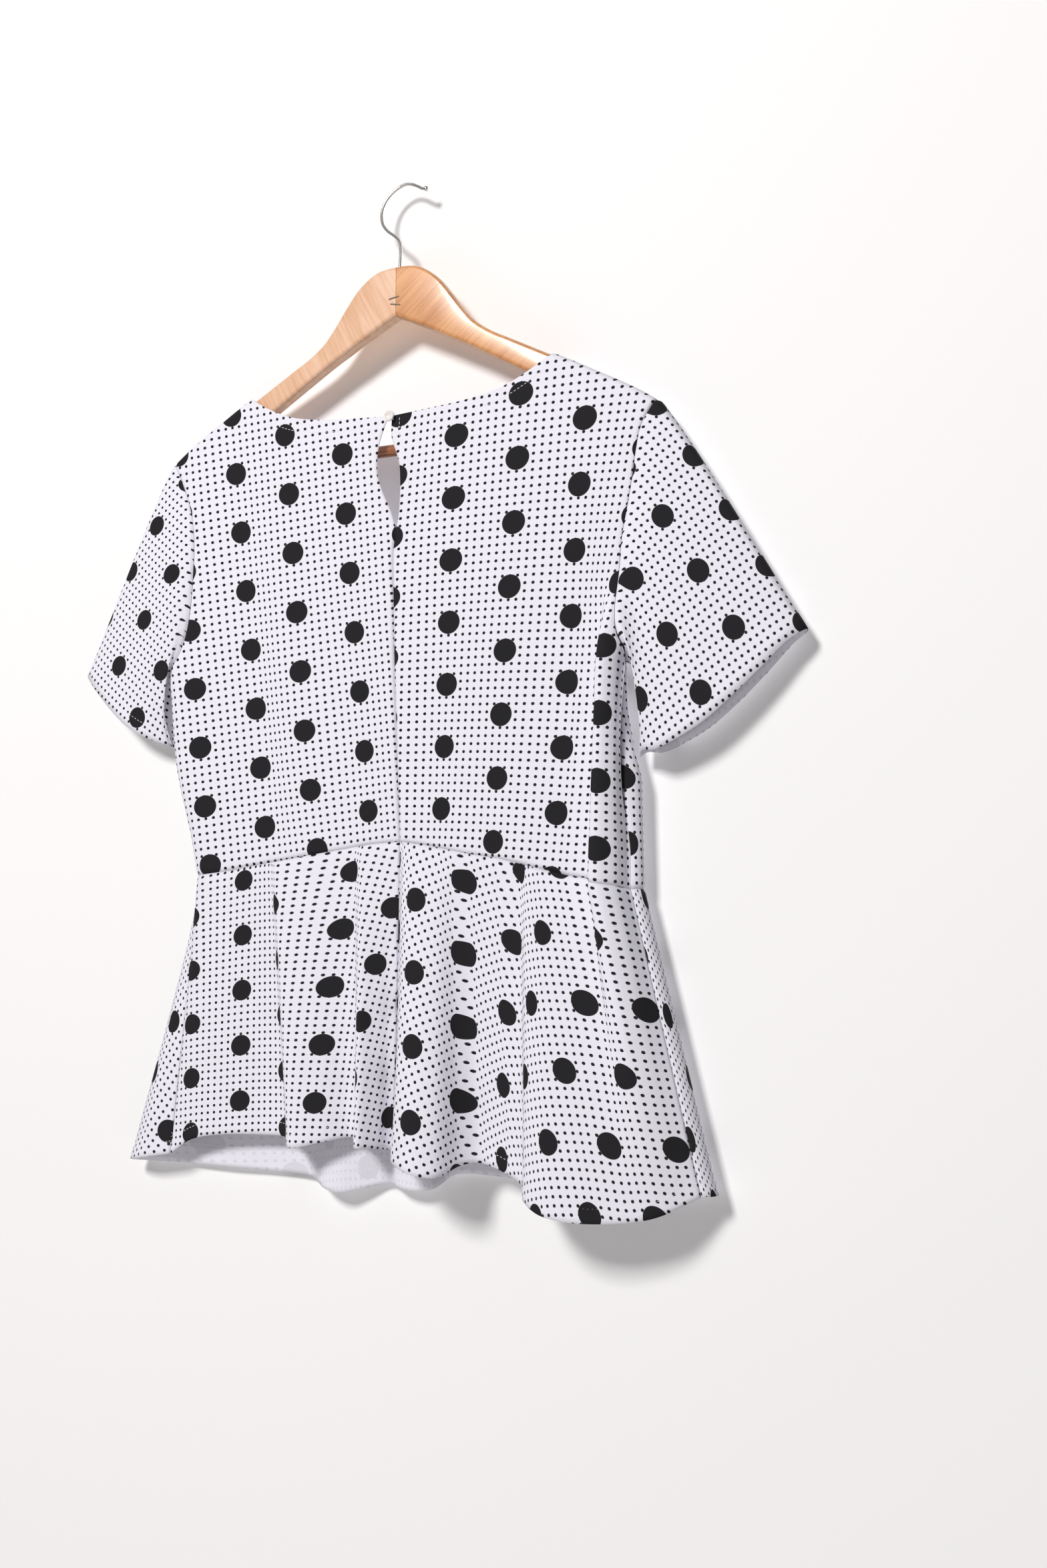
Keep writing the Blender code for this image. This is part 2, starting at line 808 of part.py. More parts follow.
def turned_bar():
    """The trouser bar, a plain round rod between the arms near their tips."""
    rod = bmesh.new()
    bmesh.ops.create_cone(
        rod,
        cap_ends=True,
        segments=16,
        radius1=BAR_RADIUS * MM,
        radius2=BAR_RADIUS * MM,
        depth=2 * BAR_HALF_LENGTH * MM,
    )
    piece = placed("hanger_bar", rod, bar_wood)
    piece.data.set_sharp_from_angle(angle=math.radians(40))
    piece.rotation_euler = (0, math.pi / 2 + SHOULDER_TILT, 0)
    piece.location = (HANGER_CENTRE * MM, arm_middle(BAR_HALF_LENGTH) * MM, BAR_HEIGHT * MM)


turned_bar()


def wire(name, points, radius, material, scales=None, resolution=2):
    """A round wire along points in metres."""
    curve = bpy.data.curves.new(name, "CURVE")
    curve.dimensions = "3D"
    curve.bevel_depth = radius
    curve.bevel_resolution = resolution
    curve.use_fill_caps = True
    spline = curve.splines.new("POLY")
    spline.points.add(len(points) - 1)
    for index, point in enumerate(points):
        spline.points[index].co = (*point, 1.0)
        spline.points[index].radius = scales[index] if scales else 1.0
    curve.materials.append(material)
    piece = bpy.data.objects.new(name, curve)
    bpy.context.scene.collection.objects.link(piece)
    return piece


def hook():
    """The steel hook: a ball at its end, the bend over the nail and the stem into the crown."""
    low = HOOK_ROUTE[-1][1]
    line = spaced(smooth_line(HOOK_ROUTE), evenly(HOOK_STEPS))
    points = []
    for x, z in line:
        y = arm_middle(0) * max(0.0, z / low) if z < 0 else 0.0
        points.append(Vector((x, y, z)) * MM)
    scales = list(BALL_SCALE) + [1.0] * (len(points) - len(BALL_SCALE))
    wire("hanger_hook", points, WIRE_RADIUS * MM, steel, scales)


hook()


def button():
    """A small button turned in one piece with its stem, facing away from the cloth."""
    back, face = BUTTON_DEPTH, BUTTON_DEPTH - BUTTON_THICKNESS
    profile = (
        (0, STEM_DEPTH),
        (STEM_RADIUS, STEM_DEPTH),
        (STEM_RADIUS, back),
        (BUTTON_RADIUS - BUTTON_CHAMFER, back),
        (BUTTON_RADIUS, back - BUTTON_CHAMFER),
        (BUTTON_RADIUS, face + BUTTON_CHAMFER),
        (BUTTON_RADIUS - BUTTON_CHAMFER, face),
        (BUTTON_RADIUS - BUTTON_RIM, face),
        (0, face + BUTTON_DISH),
    )
    x, z = BUTTON_CENTRE
    disc = bmesh.new()
    corners = [disc.verts.new(Vector((x + reach, y, z)) * MM) for reach, y in profile]
    edges = [disc.edges.new(pair) for pair in zip(corners, corners[1:])]
    bmesh.ops.spin(
        disc,
        geom=corners + edges,
        cent=Vector((x, 0, z)) * MM,
        axis=(0, 1, 0),
        angle=2 * math.pi,
        steps=20,
        use_merge=True,
    )
    bmesh.ops.remove_doubles(disc, verts=disc.verts, dist=1e-6)
    bmesh.ops.recalc_face_normals(disc, faces=disc.faces)
    piece = placed("button", disc, pearl)
    piece.data.set_sharp_from_angle(angle=math.radians(40))


button()


def thread_loop():
    """The thread loop on the right half, caught round the button's stem."""
    x, z = BUTTON_CENTRE
    line = spaced(smooth_line(LOOP_ROUTE), evenly(LOOP_STEPS))
    points = [Vector((x + right, LOOP_DEPTH, z + up)) * MM for right, up in line]
    wire("button_loop", points, LOOP_RADIUS * MM, thread, resolution=1)


thread_loop()
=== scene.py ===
import math

import bmesh
import bpy
from mathutils import Matrix, Vector


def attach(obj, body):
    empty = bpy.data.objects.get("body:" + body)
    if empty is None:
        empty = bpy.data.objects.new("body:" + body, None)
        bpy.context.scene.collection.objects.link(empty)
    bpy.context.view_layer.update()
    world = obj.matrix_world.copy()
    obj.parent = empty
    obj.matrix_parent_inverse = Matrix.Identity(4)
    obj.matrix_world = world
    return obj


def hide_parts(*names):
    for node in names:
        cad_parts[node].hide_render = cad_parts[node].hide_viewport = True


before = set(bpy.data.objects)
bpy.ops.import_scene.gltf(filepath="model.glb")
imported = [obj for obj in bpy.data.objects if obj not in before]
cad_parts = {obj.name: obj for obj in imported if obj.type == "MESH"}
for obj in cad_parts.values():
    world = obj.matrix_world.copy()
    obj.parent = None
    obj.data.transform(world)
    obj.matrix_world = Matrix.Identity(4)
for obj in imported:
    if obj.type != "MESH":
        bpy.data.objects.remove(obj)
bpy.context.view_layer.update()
MM = 0.001

# ---------------------------------------------------------------------------------------------
# Camera: stands to the right of the garment and a little under its middle, turned 25 degrees
# towards it and tipped up slightly, as the photograph was taken.
CAMERA_YAW = 25.0
CAMERA_PITCH = 5.5
lens = bpy.data.cameras.new("camera")
lens.sensor_fit = "AUTO"
lens.sensor_width = 36.0
lens.lens = 37.55
lens.clip_start = 0.01
camera = bpy.data.objects.new("camera", lens)
camera.location = (0.6114, -1.0894, -0.5963)
camera.rotation_euler = (math.radians(90 + CAMERA_PITCH), 0.0, math.radians(CAMERA_YAW))
bpy.context.scene.collection.objects.link(camera)
bpy.context.scene.camera = camera


# ---------------------------------------------------------------------------------------------
# Wall, floor and light: a painted wall just behind the garment, a pale floor far below it, and
# soft light from above the camera's left. The wall is clear from behind and casts no shadow, and a
# second light stands behind it, for the views of the front.
def principled(name, colour, roughness):
    """A new material, its shader and its links."""
    material = bpy.data.materials.new(name)
    material.use_nodes = True
    shader = material.node_tree.nodes["Principled BSDF"]
    shader.inputs["Base Color"].default_value = (*colour, 1.0)
    shader.inputs["Roughness"].default_value = roughness
    return material, shader, material.node_tree.links


def node(material, kind, **settings):
    made = material.node_tree.nodes.new(kind)
    for key, value in settings.items():
        setattr(made, key, value)
    return made


def placed(name, shape, *materials):
    """The finished bmesh as an object at the origin, smoothly shaded."""
    mesh = bpy.data.meshes.new(name)
    shape.to_mesh(mesh)
    shape.free()
    for material in materials:
        mesh.materials.append(material)
    mesh.shade_smooth()
    piece = bpy.data.objects.new(name, mesh)
    bpy.context.scene.collection.objects.link(piece)
    return piece


WALL_DEPTH = 0.016
FLOOR_HEIGHT = -1.5
wall_paint, wall_shader, wall_links = principled("wall_paint", (0.87, 0.86, 0.86), 0.9)
behind = node(wall_paint, "ShaderNodeNewGeometry")
clear = node(wall_paint, "ShaderNodeBsdfTransparent")
one_sided = node(wall_paint, "ShaderNodeMixShader")
wall_links.new(behind.outputs["Backfacing"], one_sided.inputs["Fac"])
wall_links.new(wall_shader.outputs["BSDF"], one_sided.inputs[1])
wall_links.new(clear.outputs["BSDF"], one_sided.inputs[2])
wall_links.new(one_sided.outputs["Shader"], wall_paint.node_tree.nodes["Material Output"].inputs["Surface"])
shape = bmesh.new()
bmesh.ops.create_grid(shape, x_segments=1, y_segments=1, size=3.0)
bmesh.ops.rotate(shape, verts=shape.verts, matrix=Matrix.Rotation(math.radians(90), 3, "X"))
bmesh.ops.translate(shape, verts=shape.verts, vec=(0, WALL_DEPTH, FLOOR_HEIGHT + 3.0))
wall = placed("wall", shape, wall_paint)
wall.visible_shadow = False
wall.visible_diffuse = False

floor_paint, _, _ = principled("floor_paint", (0.78, 0.77, 0.76), 0.8)
shape = bmesh.new()
bmesh.ops.create_grid(shape, x_segments=1, y_segments=1, size=3.0)
bmesh.ops.translate(shape, verts=shape.verts, vec=(0, 0, FLOOR_HEIGHT))
floor = placed("floor", shape, floor_paint)


def soft_light(name, place, aim, width, height, power, colour):
    lamp = bpy.data.lights.new(name, "AREA")
    lamp.shape = "RECTANGLE"
    lamp.size = width
    lamp.size_y = height
    lamp.energy = power
    lamp.color = colour
    holder = bpy.data.objects.new(name, lamp)
    holder.location = place
    holder.rotation_euler = (Vector(aim) - Vector(place)).to_track_quat("-Z", "Y").to_euler()
    bpy.context.scene.collection.objects.link(holder)


soft_light("window", (-0.49, -2.94, 1.23), (0.0, 0.0, -0.45), 0.7, 0.7, 100.0, (1.0, 0.985, 0.975))
soft_light("far_side", (0.6, 2.9, 0.6), (0.0, 0.0, -0.45), 1.4, 1.4, 80.0, (1.0, 0.99, 0.98))
sky = bpy.data.worlds.new("room_light")
sky.use_nodes = True
sky.node_tree.nodes["Background"].inputs["Color"].default_value = (0.98, 0.985, 1.0, 1.0)
sky.node_tree.nodes["Background"].inputs["Strength"].default_value = 0.24
bpy.context.scene.world = sky
bpy.context.scene.view_settings.view_transform = "Standard"

# ---------------------------------------------------------------------------------------------
# Hook: one steel wire, with a small ball at its free end, bent over the nail and pushed into the
# crown of the hanger.
HOOK_ROUTE = (
    (21.5, -6.5),
    (16.5, -5.8),
    (12, -3.0),
    (6, 0.2),
    (0, 1.25),
    (-7.5, -1.2),
    (-14, -6.5),
    (-18, -13.5),
    (-19.4, -21.5),
    (-17.5, -30),
    (-12.5, -37),
    (-6, -42.5),
    (-1, -48),
    (1, -56),
    (2, -72.2),
)
WIRE_RADIUS = 1.25
BALL_RADIUS = 2.1


def smooth_line(rows, steps=6):
    """A smooth line through rows of two or more numbers, with the rows themselves kept on it."""
    points = [Vector(row) for row in rows]
    ends = [points[0] * 2 - points[1], *points, points[-1] * 2 - points[-2]]
    line = [points[0]]
    for a, b, c, d in zip(ends, ends[1:], ends[2:], ends[3:]):
        near = (c - a) * min(0.5, (c - b).length / max((c - a).length, 1e-6))
        far = (d - b) * min(0.5, (c - b).length / max((d - b).length, 1e-6))
        for step in range(1, steps + 1):
            t = step / steps
            line.append(
                b * (2 * t**3 - 3 * t**2 + 1)
                + near * (t**3 - 2 * t**2 + t)
                + c * (3 * t**2 - 2 * t**3)
                + far * (t**3 - t**2)
            )
    return line


def lengths_of(line):
    """How far along a line each of its points lies."""
    lengths = [0.0]
    for a, b in zip(line, line[1:]):
        lengths.append(lengths[-1] + (b - a).length)
    return lengths


def spaced(line, shares):
    """Points at these shares of a line's length."""
    lengths = lengths_of(line)
    points = []
    for share in shares:
        reach = share * lengths[-1]
        index = 0
        while index < len(line) - 2 and lengths[index + 1] < reach:
            index += 1
        run = lengths[index + 1] - lengths[index]
        points.append(line[index].lerp(line[index + 1], (reach - lengths[index]) / run))
    return points


def evenly(count):
    return [step / count for step in range(count + 1)]


def arm_middle(x):
    """Depth of the middle of the hanger's arm, which bows towards the back at the centre."""
    return -11.0 + 9.0 * min(abs(x) / 203.0, 1.1) ** 2


def tube(line, radii, sides=16):
    """A closed round wire along a line of points in metres; a zero radius closes an end."""
    wire = bmesh.new()
    steps = len(line) - 1
    bmesh.ops.create_grid(wire, x_segments=sides, y_segments=steps, size=1.0)
    frames = []
    across = Vector((0.0, 1.0, 0.02)).normalized()
    for index, point in enumerate(line):
        ahead = line[min(index + 1, steps)] - line[max(index - 1, 0)]
        ahead.normalize()
        across = (across - ahead * across.dot(ahead)).normalized()
        frames.append((point, across, ahead.cross(across)))
    for corner in wire.verts:
        i = round((corner.co.x + 1) / 2 * sides)
        j = round((corner.co.y + 1) / 2 * steps)
        point, across, upward = frames[j]
        angle = 2 * math.pi * i / sides
        corner.co = point + (across * math.cos(angle) + upward * math.sin(angle)) * radii[j]
    bmesh.ops.remove_doubles(wire, verts=wire.verts, dist=1e-7)
    bmesh.ops.recalc_face_normals(wire, faces=wire.faces)
    return wire


steel, steel_shader, steel_links = principled("hook_steel", (0.62, 0.60, 0.57), 0.22)
steel_shader.inputs["Metallic"].default_value = 1.0
wear = node(steel, "ShaderNodeTexNoise")
wear.inputs["Scale"].default_value = 900.0
worn = node(steel, "ShaderNodeMapRange")
worn.inputs["To Min"].default_value = 0.16
worn.inputs["To Max"].default_value = 0.34
place = node(steel, "ShaderNodeTexCoord")
steel_links.new(place.outputs["Object"], wear.inputs["Vector"])
steel_links.new(wear.outputs["Fac"], worn.inputs["Value"])
steel_links.new(worn.outputs["Result"], steel_shader.inputs["Roughness"])

line = []
for x, z in spaced(smooth_line(HOOK_ROUTE), evenly(150)):
    y = arm_middle(0) * max(0.0, z / HOOK_ROUTE[-1][1]) if z < 0 else 0.0
    line.append(Vector((x, y, z)) * MM)
radii = []
travelled = lengths_of(line)
for reach in travelled:
    off = (reach / MM - BALL_RADIUS) / BALL_RADIUS
    ball = BALL_RADIUS * math.sqrt(max(0.0, 1 - off * off))
    stem = WIRE_RADIUS if off > 0 else 0.0
    radii.append(max(ball, stem) * MM)
radii[0] = 0.0
line.append(line[-1] + (line[-1] - line[-2]).normalized() * 0.02 * MM)
radii.append(0.0)
hook = placed("hook", tube(line, radii, sides=20), steel)
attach(hook, "root")
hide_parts("hanger_hook")

# ---------------------------------------------------------------------------------------------
# Hanger arms: two contoured halves of pale hardwood under clear lacquer, mitred at the middle and
# held by two staples driven in just under the crown.
HANGER_ARM = (
    (0.15, -72.5, -112.5),
    (9, -72.8, -116.5),
    (18, -74.5, -121),
    (27, -79.5, -125.5),
    (36, -87, -130),
    (46, -99.5, -135.5),
    (56, -113, -140.5),
    (66, -124.5, -146),
    (80, -134.5, -154),
    (95, -142.3, -162.5),
    (131, -160.9, -183),
    (150, -169.8, -193),
    (168.9, -179.4, -206),
    (169.6, -179.9, -221),
    (190, -191.2, -221.5),
    (198, -197, -221),
    (203, -204, -215),
)
ARM_SPAN = 203.0
ARM_HALF_THICKNESS = 6.3
ARM_TIP_HALF_THICKNESS = 5.3
ARM_EDGE_ROUND = 3.5
HANGER_CENTRE = 2.0
SHOULDER_TILT = 0.012
ARM_CORNER_STEPS = 6

grain = bpy.data.node_groups.new("wood_grain", "ShaderNodeTree")
for name, kind in (("Vector", "NodeSocketVector"), ("Light", "NodeSocketColor"), ("Dark", "NodeSocketColor")):
    grain.interface.new_socket(name, in_out="INPUT", socket_type=kind)
slope_in = grain.interface.new_socket("Slope", in_out="INPUT", socket_type="NodeSocketFloat")
for name, kind in (("Color", "NodeSocketColor"), ("Height", "NodeSocketFloat")):
    grain.interface.new_socket(name, in_out="OUTPUT", socket_type=kind)
g = grain.nodes
g_in, g_out = g.new("NodeGroupInput"), g.new("NodeGroupOutput")
turn = g.new("ShaderNodeVectorRotate")
turn.rotation_type = "Y_AXIS"
stretch = g.new("ShaderNodeVectorMath")
stretch.operation = "MULTIPLY"
stretch.inputs[1].default_value = (26.0, 200.0, 330.0)
bands = g.new("ShaderNodeTexNoise")
bands.inputs["Scale"].default_value = 1.0
bands.inputs["Detail"].default_value = 5.0
bands.inputs["Roughness"].default_value = 0.55
bands.inputs["Distortion"].default_value = 0.6
broad = g.new("ShaderNodeTexNoise")
broad.inputs["Scale"].default_value = 0.22
broad.inputs["Detail"].default_value = 2.0
fleck = g.new("ShaderNodeVectorMath")
fleck.operation = "MULTIPLY"
fleck.inputs[1].default_value = (420.0, 1800.0, 2400.0)
pores = g.new("ShaderNodeTexNoise")
pores.inputs["Scale"].default_value = 1.0
pores.inputs["Detail"].default_value = 2.0
contrast = g.new("ShaderNodeMapRange")
sum_bands = g.new("ShaderNodeMath")
sum_bands.operation = "ADD"
part = g.new("ShaderNodeMath")
part.operation = "MULTIPLY"
part.inputs[1].default_value = 0.55
pore_mask = g.new("ShaderNodeMapRange")
pore_mask.inputs["From Min"].default_value = 0.58
pore_mask.inputs["From Max"].default_value = 0.72
pore_mask.inputs["To Max"].default_value = 0.35
plus = g.new("ShaderNodeMath")
plus.operation = "ADD"
plus.use_clamp = True
blend = g.new("ShaderNodeMix")
blend.data_type = "RGBA"
gl = grain.links
gl.new(g_in.outputs["Vector"], turn.inputs["Vector"])
gl.new(g_in.outputs["Slope"], turn.inputs["Angle"])
gl.new(turn.outputs["Vector"], stretch.inputs[0])
gl.new(stretch.outputs["Vector"], bands.inputs["Vector"])
gl.new(stretch.outputs["Vector"], broad.inputs["Vector"])
gl.new(turn.outputs["Vector"], fleck.inputs[0])
gl.new(fleck.outputs["Vector"], pores.inputs["Vector"])
gl.new(broad.outputs["Fac"], part.inputs[0])
gl.new(bands.outputs["Fac"], sum_bands.inputs[0])
gl.new(part.outputs["Value"], sum_bands.inputs[1])
gl.new(sum_bands.outputs["Value"], contrast.inputs["Value"])
contrast.inputs["From Min"].default_value = 0.58
contrast.inputs["From Max"].default_value = 1.0
gl.new(pores.outputs["Fac"], pore_mask.inputs["Value"])
gl.new(contrast.outputs["Result"], plus.inputs[0])
gl.new(pore_mask.outputs["Result"], plus.inputs[1])
gl.new(plus.outputs["Value"], blend.inputs["Factor"])
gl.new(g_in.outputs["Light"], blend.inputs["A"])
gl.new(g_in.outputs["Dark"], blend.inputs["B"])
gl.new(blend.outputs["Result"], g_out.inputs["Color"])
gl.new(plus.outputs["Value"], g_out.inputs["Height"])


def lacquered_wood(name, light, dark, slope, roughness=0.34):
    """Wood under a clear coat, its grain running at this slope."""
    material, shader, links = principled(name, light, roughness)
    where = node(material, "ShaderNodeTexCoord")
    figure = node(material, "ShaderNodeGroup", node_tree=grain)
    figure.inputs["Light"].default_value = (*light, 1.0)
    figure.inputs["Dark"].default_value = (*dark, 1.0)
    figure.inputs["Slope"].default_value = math.radians(slope)
    fine = node(material, "ShaderNodeBump")
    fine.inputs["Strength"].default_value = 0.12
    fine.inputs["Distance"].default_value = 0.0002
    links.new(where.outputs["Object"], figure.inputs["Vector"])
    links.new(figure.outputs["Color"], shader.inputs["Base Color"])
    links.new(figure.outputs["Height"], fine.inputs["Height"])
    links.new(fine.outputs["Normal"], shader.inputs["Normal"])
    shader.inputs["Coat Weight"].default_value = 0.5
    shader.inputs["Coat Roughness"].default_value = 0.12
    return material


def arm_ring(side, row):
    """The rounded section of an arm at one place along it."""
    reach, top, bottom = row
    x = side * reach
    half = ARM_HALF_THICKNESS + (ARM_TIP_HALF_THICKNESS - ARM_HALF_THICKNESS) * reach / ARM_SPAN
    soft = min(ARM_EDGE_ROUND, (top - bottom) * 0.4)
    ring = []
    for quarter in range(4):
        across = 1 if quarter in (0, 3) else -1
        upward = 1 if quarter < 2 else -1
        for step in range(ARM_CORNER_STEPS + 1):
            angle = math.radians(90 * (quarter + step / ARM_CORNER_STEPS))
            y = arm_middle(x) + across * (half - soft) + soft * math.cos(angle)
            z = (top - soft if upward > 0 else bottom + soft) + soft * math.sin(angle)
            ring.append(Vector((x + HANGER_CENTRE, y, z - SHOULDER_TILT * x)) * MM)
    return ring


def hanger_arm(name, side, material):
    rows = smooth_line(HANGER_ARM, steps=4)
    rings = [arm_ring(side, row) for row in rows]
    around = len(rings[0])
    arm = bmesh.new()
    bmesh.ops.create_grid(arm, x_segments=around, y_segments=len(rings) - 1, size=1.0)
    for corner in arm.verts:
        i = round((corner.co.x + 1) / 2 * around) % around
        j = round((corner.co.y + 1) / 2 * (len(rings) - 1))
        corner.co = rings[j][i]
    bmesh.ops.remove_doubles(arm, verts=arm.verts, dist=1e-7)
    bmesh.ops.holes_fill(arm, edges=[edge for edge in arm.edges if edge.is_boundary])
    bmesh.ops.recalc_face_normals(arm, faces=arm.faces)
    piece = placed(name, arm, material)
    piece.data.set_sharp_from_angle(angle=math.radians(50))
    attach(piece, "root")
    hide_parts("hanger_" + name)
    return piece


# Two copies of one wood: the left copy is painted lighter and the right darker and more orange, painted light
# and shade for the two faces, which turn differently to the light; the grain also runs at a different slope
# on each.
wood_painted_lit = lacquered_wood("lacquered_wood_left", (0.80, 0.52, 0.36), (0.66, 0.36, 0.20), -62.0)
wood_painted_shaded = lacquered_wood("lacquered_wood_right", (0.72, 0.36, 0.15), (0.50, 0.20, 0.07), 38.0)
hanger_arm("arm_left", -1, wood_painted_lit)
hanger_arm("arm_right", 1, wood_painted_shaded)

STAPLE_RADIUS = 0.42
staple_steel, staple_shader, staple_links = principled("staple_steel", (0.30, 0.27, 0.24), 0.4)
staple_shader.inputs["Metallic"].default_value = 1.0
for count, (x, z, lean) in enumerate(((0.2, -98.0, 8.0), (1.6, -103.5, -12.0))):
    y = arm_middle(0) - ARM_HALF_THICKNESS
    route = []
    for u, depth in ((-4.2, 1.4), (-4.2, -0.1), (-3.9, -0.45), (3.9, -0.45), (4.2, -0.1), (4.2, 1.4)):
        turned = math.radians(lean)
        route.append(Vector((x + u * math.cos(turned), y + depth, z + u * math.sin(turned))) * MM)
    line = spaced(smooth_line(route, steps=4), evenly(24))
    radii = [0.0] + [STAPLE_RADIUS * MM] * 23 + [0.0]
    staple = placed(f"staple_{count + 1}", tube(line, radii, sides=10), staple_steel)
    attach(staple, "root")

# ---------------------------------------------------------------------------------------------
# Trouser bar: a turned rod stained brown and lacquered, let into the arms near their tips. It
# shows through the keyhole.
BAR_RADIUS = 4.7
BAR_HEIGHT = -215.5
BAR_HALF_LENGTH = 168.4
bar_wood = lacquered_wood("bar_wood", (0.36, 0.13, 0.05), (0.20, 0.06, 0.02), 0.7, 0.2)
line = []
for share in evenly(40):
    along = (share * 2 - 1) * BAR_HALF_LENGTH
    height = BAR_HEIGHT - along * math.tan(SHOULDER_TILT)
    line.append(Vector((HANGER_CENTRE + along, arm_middle(BAR_HALF_LENGTH), height)) * MM)
bar = placed("bar", tube(line, [0.0] + [BAR_RADIUS * MM] * 39 + [0.0], sides=32), bar_wood)
bar.data.set_sharp_from_angle(angle=math.radians(40))
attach(bar, "root")
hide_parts("hanger_bar")

# ---------------------------------------------------------------------------------------------
# Dotted crepe: white polyester crepe with a pebbled face, printed black with small dots on a
# square lattice and large ones dropped by half a repeat; the print shows faintly on its inside.
DOT_PITCH = 6.0
SMALL_DOT = 0.205
LARGE_DOT = 1.50


def group_of(name, inputs, outputs):
    """A new shader group with these sockets, its nodes, links and two ends."""
    group = bpy.data.node_groups.new(name, "ShaderNodeTree")
    for label, kind in inputs:
        group.interface.new_socket(label, in_out="INPUT", socket_type=kind)
    for label, kind in outputs:
        group.interface.new_socket(label, in_out="OUTPUT", socket_type=kind)
    return group, group.nodes.new("NodeGroupInput"), group.nodes.new("NodeGroupOutput")


def sum_of(group, operation, first, second=None, third=None, clamp=False):
    """One Math node, fed by sockets or numbers."""
    made = group.nodes.new("ShaderNodeMath")
    made.operation = operation
    made.use_clamp = clamp
    for slot, value in enumerate((first, second, third)):
        if value is None:
            continue
        if isinstance(value, (int, float)):
            made.inputs[slot].default_value = value
        else:
            group.links.new(value, made.inputs[slot])
    return made.outputs["Value"]


dots, dots_in, dots_out = group_of(
    "dot_print",
    (("Vector", "NodeSocketVector"),),
    (("Ink", "NodeSocketFloat"),),
)
split = dots.nodes.new("ShaderNodeSeparateXYZ")
dots.links.new(dots_in.outputs["Vector"], split.inputs["Vector"])
column = sum_of(dots, "DIVIDE", split.outputs["X"], DOT_PITCH * MM)
row = sum_of(dots, "DIVIDE", split.outputs["Y"], DOT_PITCH * MM)


def off_centre(value, repeat, start):
    """How far a coordinate lies from the nearest of the points repeat apart."""
    moved = sum_of(dots, "SUBTRACT", value, start - repeat / 2)
    return sum_of(dots, "SUBTRACT", sum_of(dots, "FLOORED_MODULO", moved, repeat), repeat / 2)


def round_dot(across, along, radius):
    """A disc with an edge about a tenth of a millimetre soft."""
    far = sum_of(dots, "MULTIPLY", across, across)
    far = sum_of(dots, "MULTIPLY_ADD", along, along, far)
    far = sum_of(dots, "SQRT", far)
    inside = sum_of(dots, "SUBTRACT", radius, far)
    return sum_of(dots, "MULTIPLY_ADD", inside, 18.0, 0.5, clamp=True)


small = round_dot(off_centre(column, 1.0, 0.0), off_centre(row, 1.0, 0.0), SMALL_DOT)
large = round_dot(off_centre(column, 16.0, 0.0), off_centre(row, 8.0, 1 / 3), LARGE_DOT)
dropped = round_dot(off_centre(column, 16.0, 8.0), off_centre(row, 8.0, 4 + 1 / 3), LARGE_DOT)
ink = sum_of(dots, "MAXIMUM", sum_of(dots, "MAXIMUM", small, large), dropped)
dots.links.new(ink, dots_out.inputs["Ink"])

pebble, pebble_in, pebble_out = group_of(
    "crepe_pebble",
    (("Vector", "NodeSocketVector"),),
    (("Height", "NodeSocketFloat"), ("Shade", "NodeSocketFloat")),
)
fine = pebble.nodes.new("ShaderNodeTexNoise")
fine.inputs["Scale"].default_value = 1500.0
fine.inputs["Detail"].default_value = 2.0
soft = pebble.nodes.new("ShaderNodeTexNoise")
soft.inputs["Scale"].default_value = 260.0
soft.inputs["Detail"].default_value = 3.0
for texture in (fine, soft):
    pebble.links.new(pebble_in.outputs["Vector"], texture.inputs["Vector"])
grit = sum_of(pebble, "MULTIPLY_ADD", soft.outputs["Fac"], 0.35, fine.outputs["Fac"])
pebble.links.new(grit, pebble_out.inputs["Height"])
pebble.links.new(soft.outputs["Fac"], pebble_out.inputs["Shade"])

CREPE_WHITE = (0.79, 0.775, 0.845)
CREPE_SHADE = (0.74, 0.725, 0.80)
PRINT_BLACK = (0.014, 0.013, 0.015)


def crepe_cloth(name, ink_strength):
    material, shader, links = principled(name, CREPE_WHITE, 0.9)
    surface = node(material, "ShaderNodeUVMap", uv_map="print")
    printed = node(material, "ShaderNodeGroup", node_tree=dots)
    crinkle = node(material, "ShaderNodeGroup", node_tree=pebble)
    tone = node(material, "ShaderNodeMix", data_type="RGBA")
    tone.inputs["A"].default_value = (*CREPE_SHADE, 1.0)
    tone.inputs["B"].default_value = (*CREPE_WHITE, 1.0)
    dyed = node(material, "ShaderNodeMix", data_type="RGBA")
    black = [w + (k - w) * ink_strength for w, k in zip(CREPE_WHITE, PRINT_BLACK)]
    dyed.inputs["B"].default_value = (*black, 1.0)
    bump = node(material, "ShaderNodeBump")
    bump.inputs["Strength"].default_value = 0.35
    bump.inputs["Distance"].default_value = 0.00025
    links.new(surface.outputs["UV"], printed.inputs["Vector"])
    links.new(surface.outputs["UV"], crinkle.inputs["Vector"])
    links.new(crinkle.outputs["Shade"], tone.inputs["Factor"])
    links.new(tone.outputs["Result"], dyed.inputs["A"])
    links.new(printed.outputs["Ink"], dyed.inputs["Factor"])
    links.new(dyed.outputs["Result"], shader.inputs["Base Color"])
    links.new(crinkle.outputs["Height"], bump.inputs["Height"])
    links.new(bump.outputs["Normal"], shader.inputs["Normal"])
    shader.inputs["Specular IOR Level"].default_value = 0.2
    return material


crepe_face = crepe_cloth("dotted_crepe", 1.0)
crepe_inside = crepe_cloth("dotted_crepe_inside", 0.16)

# ---------------------------------------------------------------------------------------------
# Back bodice: two halves joined down the centre back, where the seam opens into a keyhole under
# the neck. Each hangs from its shoulder seam; the right one holds one deep fold beside its side.
CLOTH_THICKNESS = 0.6
SIDE_ROUND = 16.0
CREST = (
    (0, -86),
    (95, -139.2),
    (135, -159.5),
    (150, -167),
    (166, -175.6),
    (182, -184),
    (198, -193),
    (214, -203.4),
    (240, -222),
)
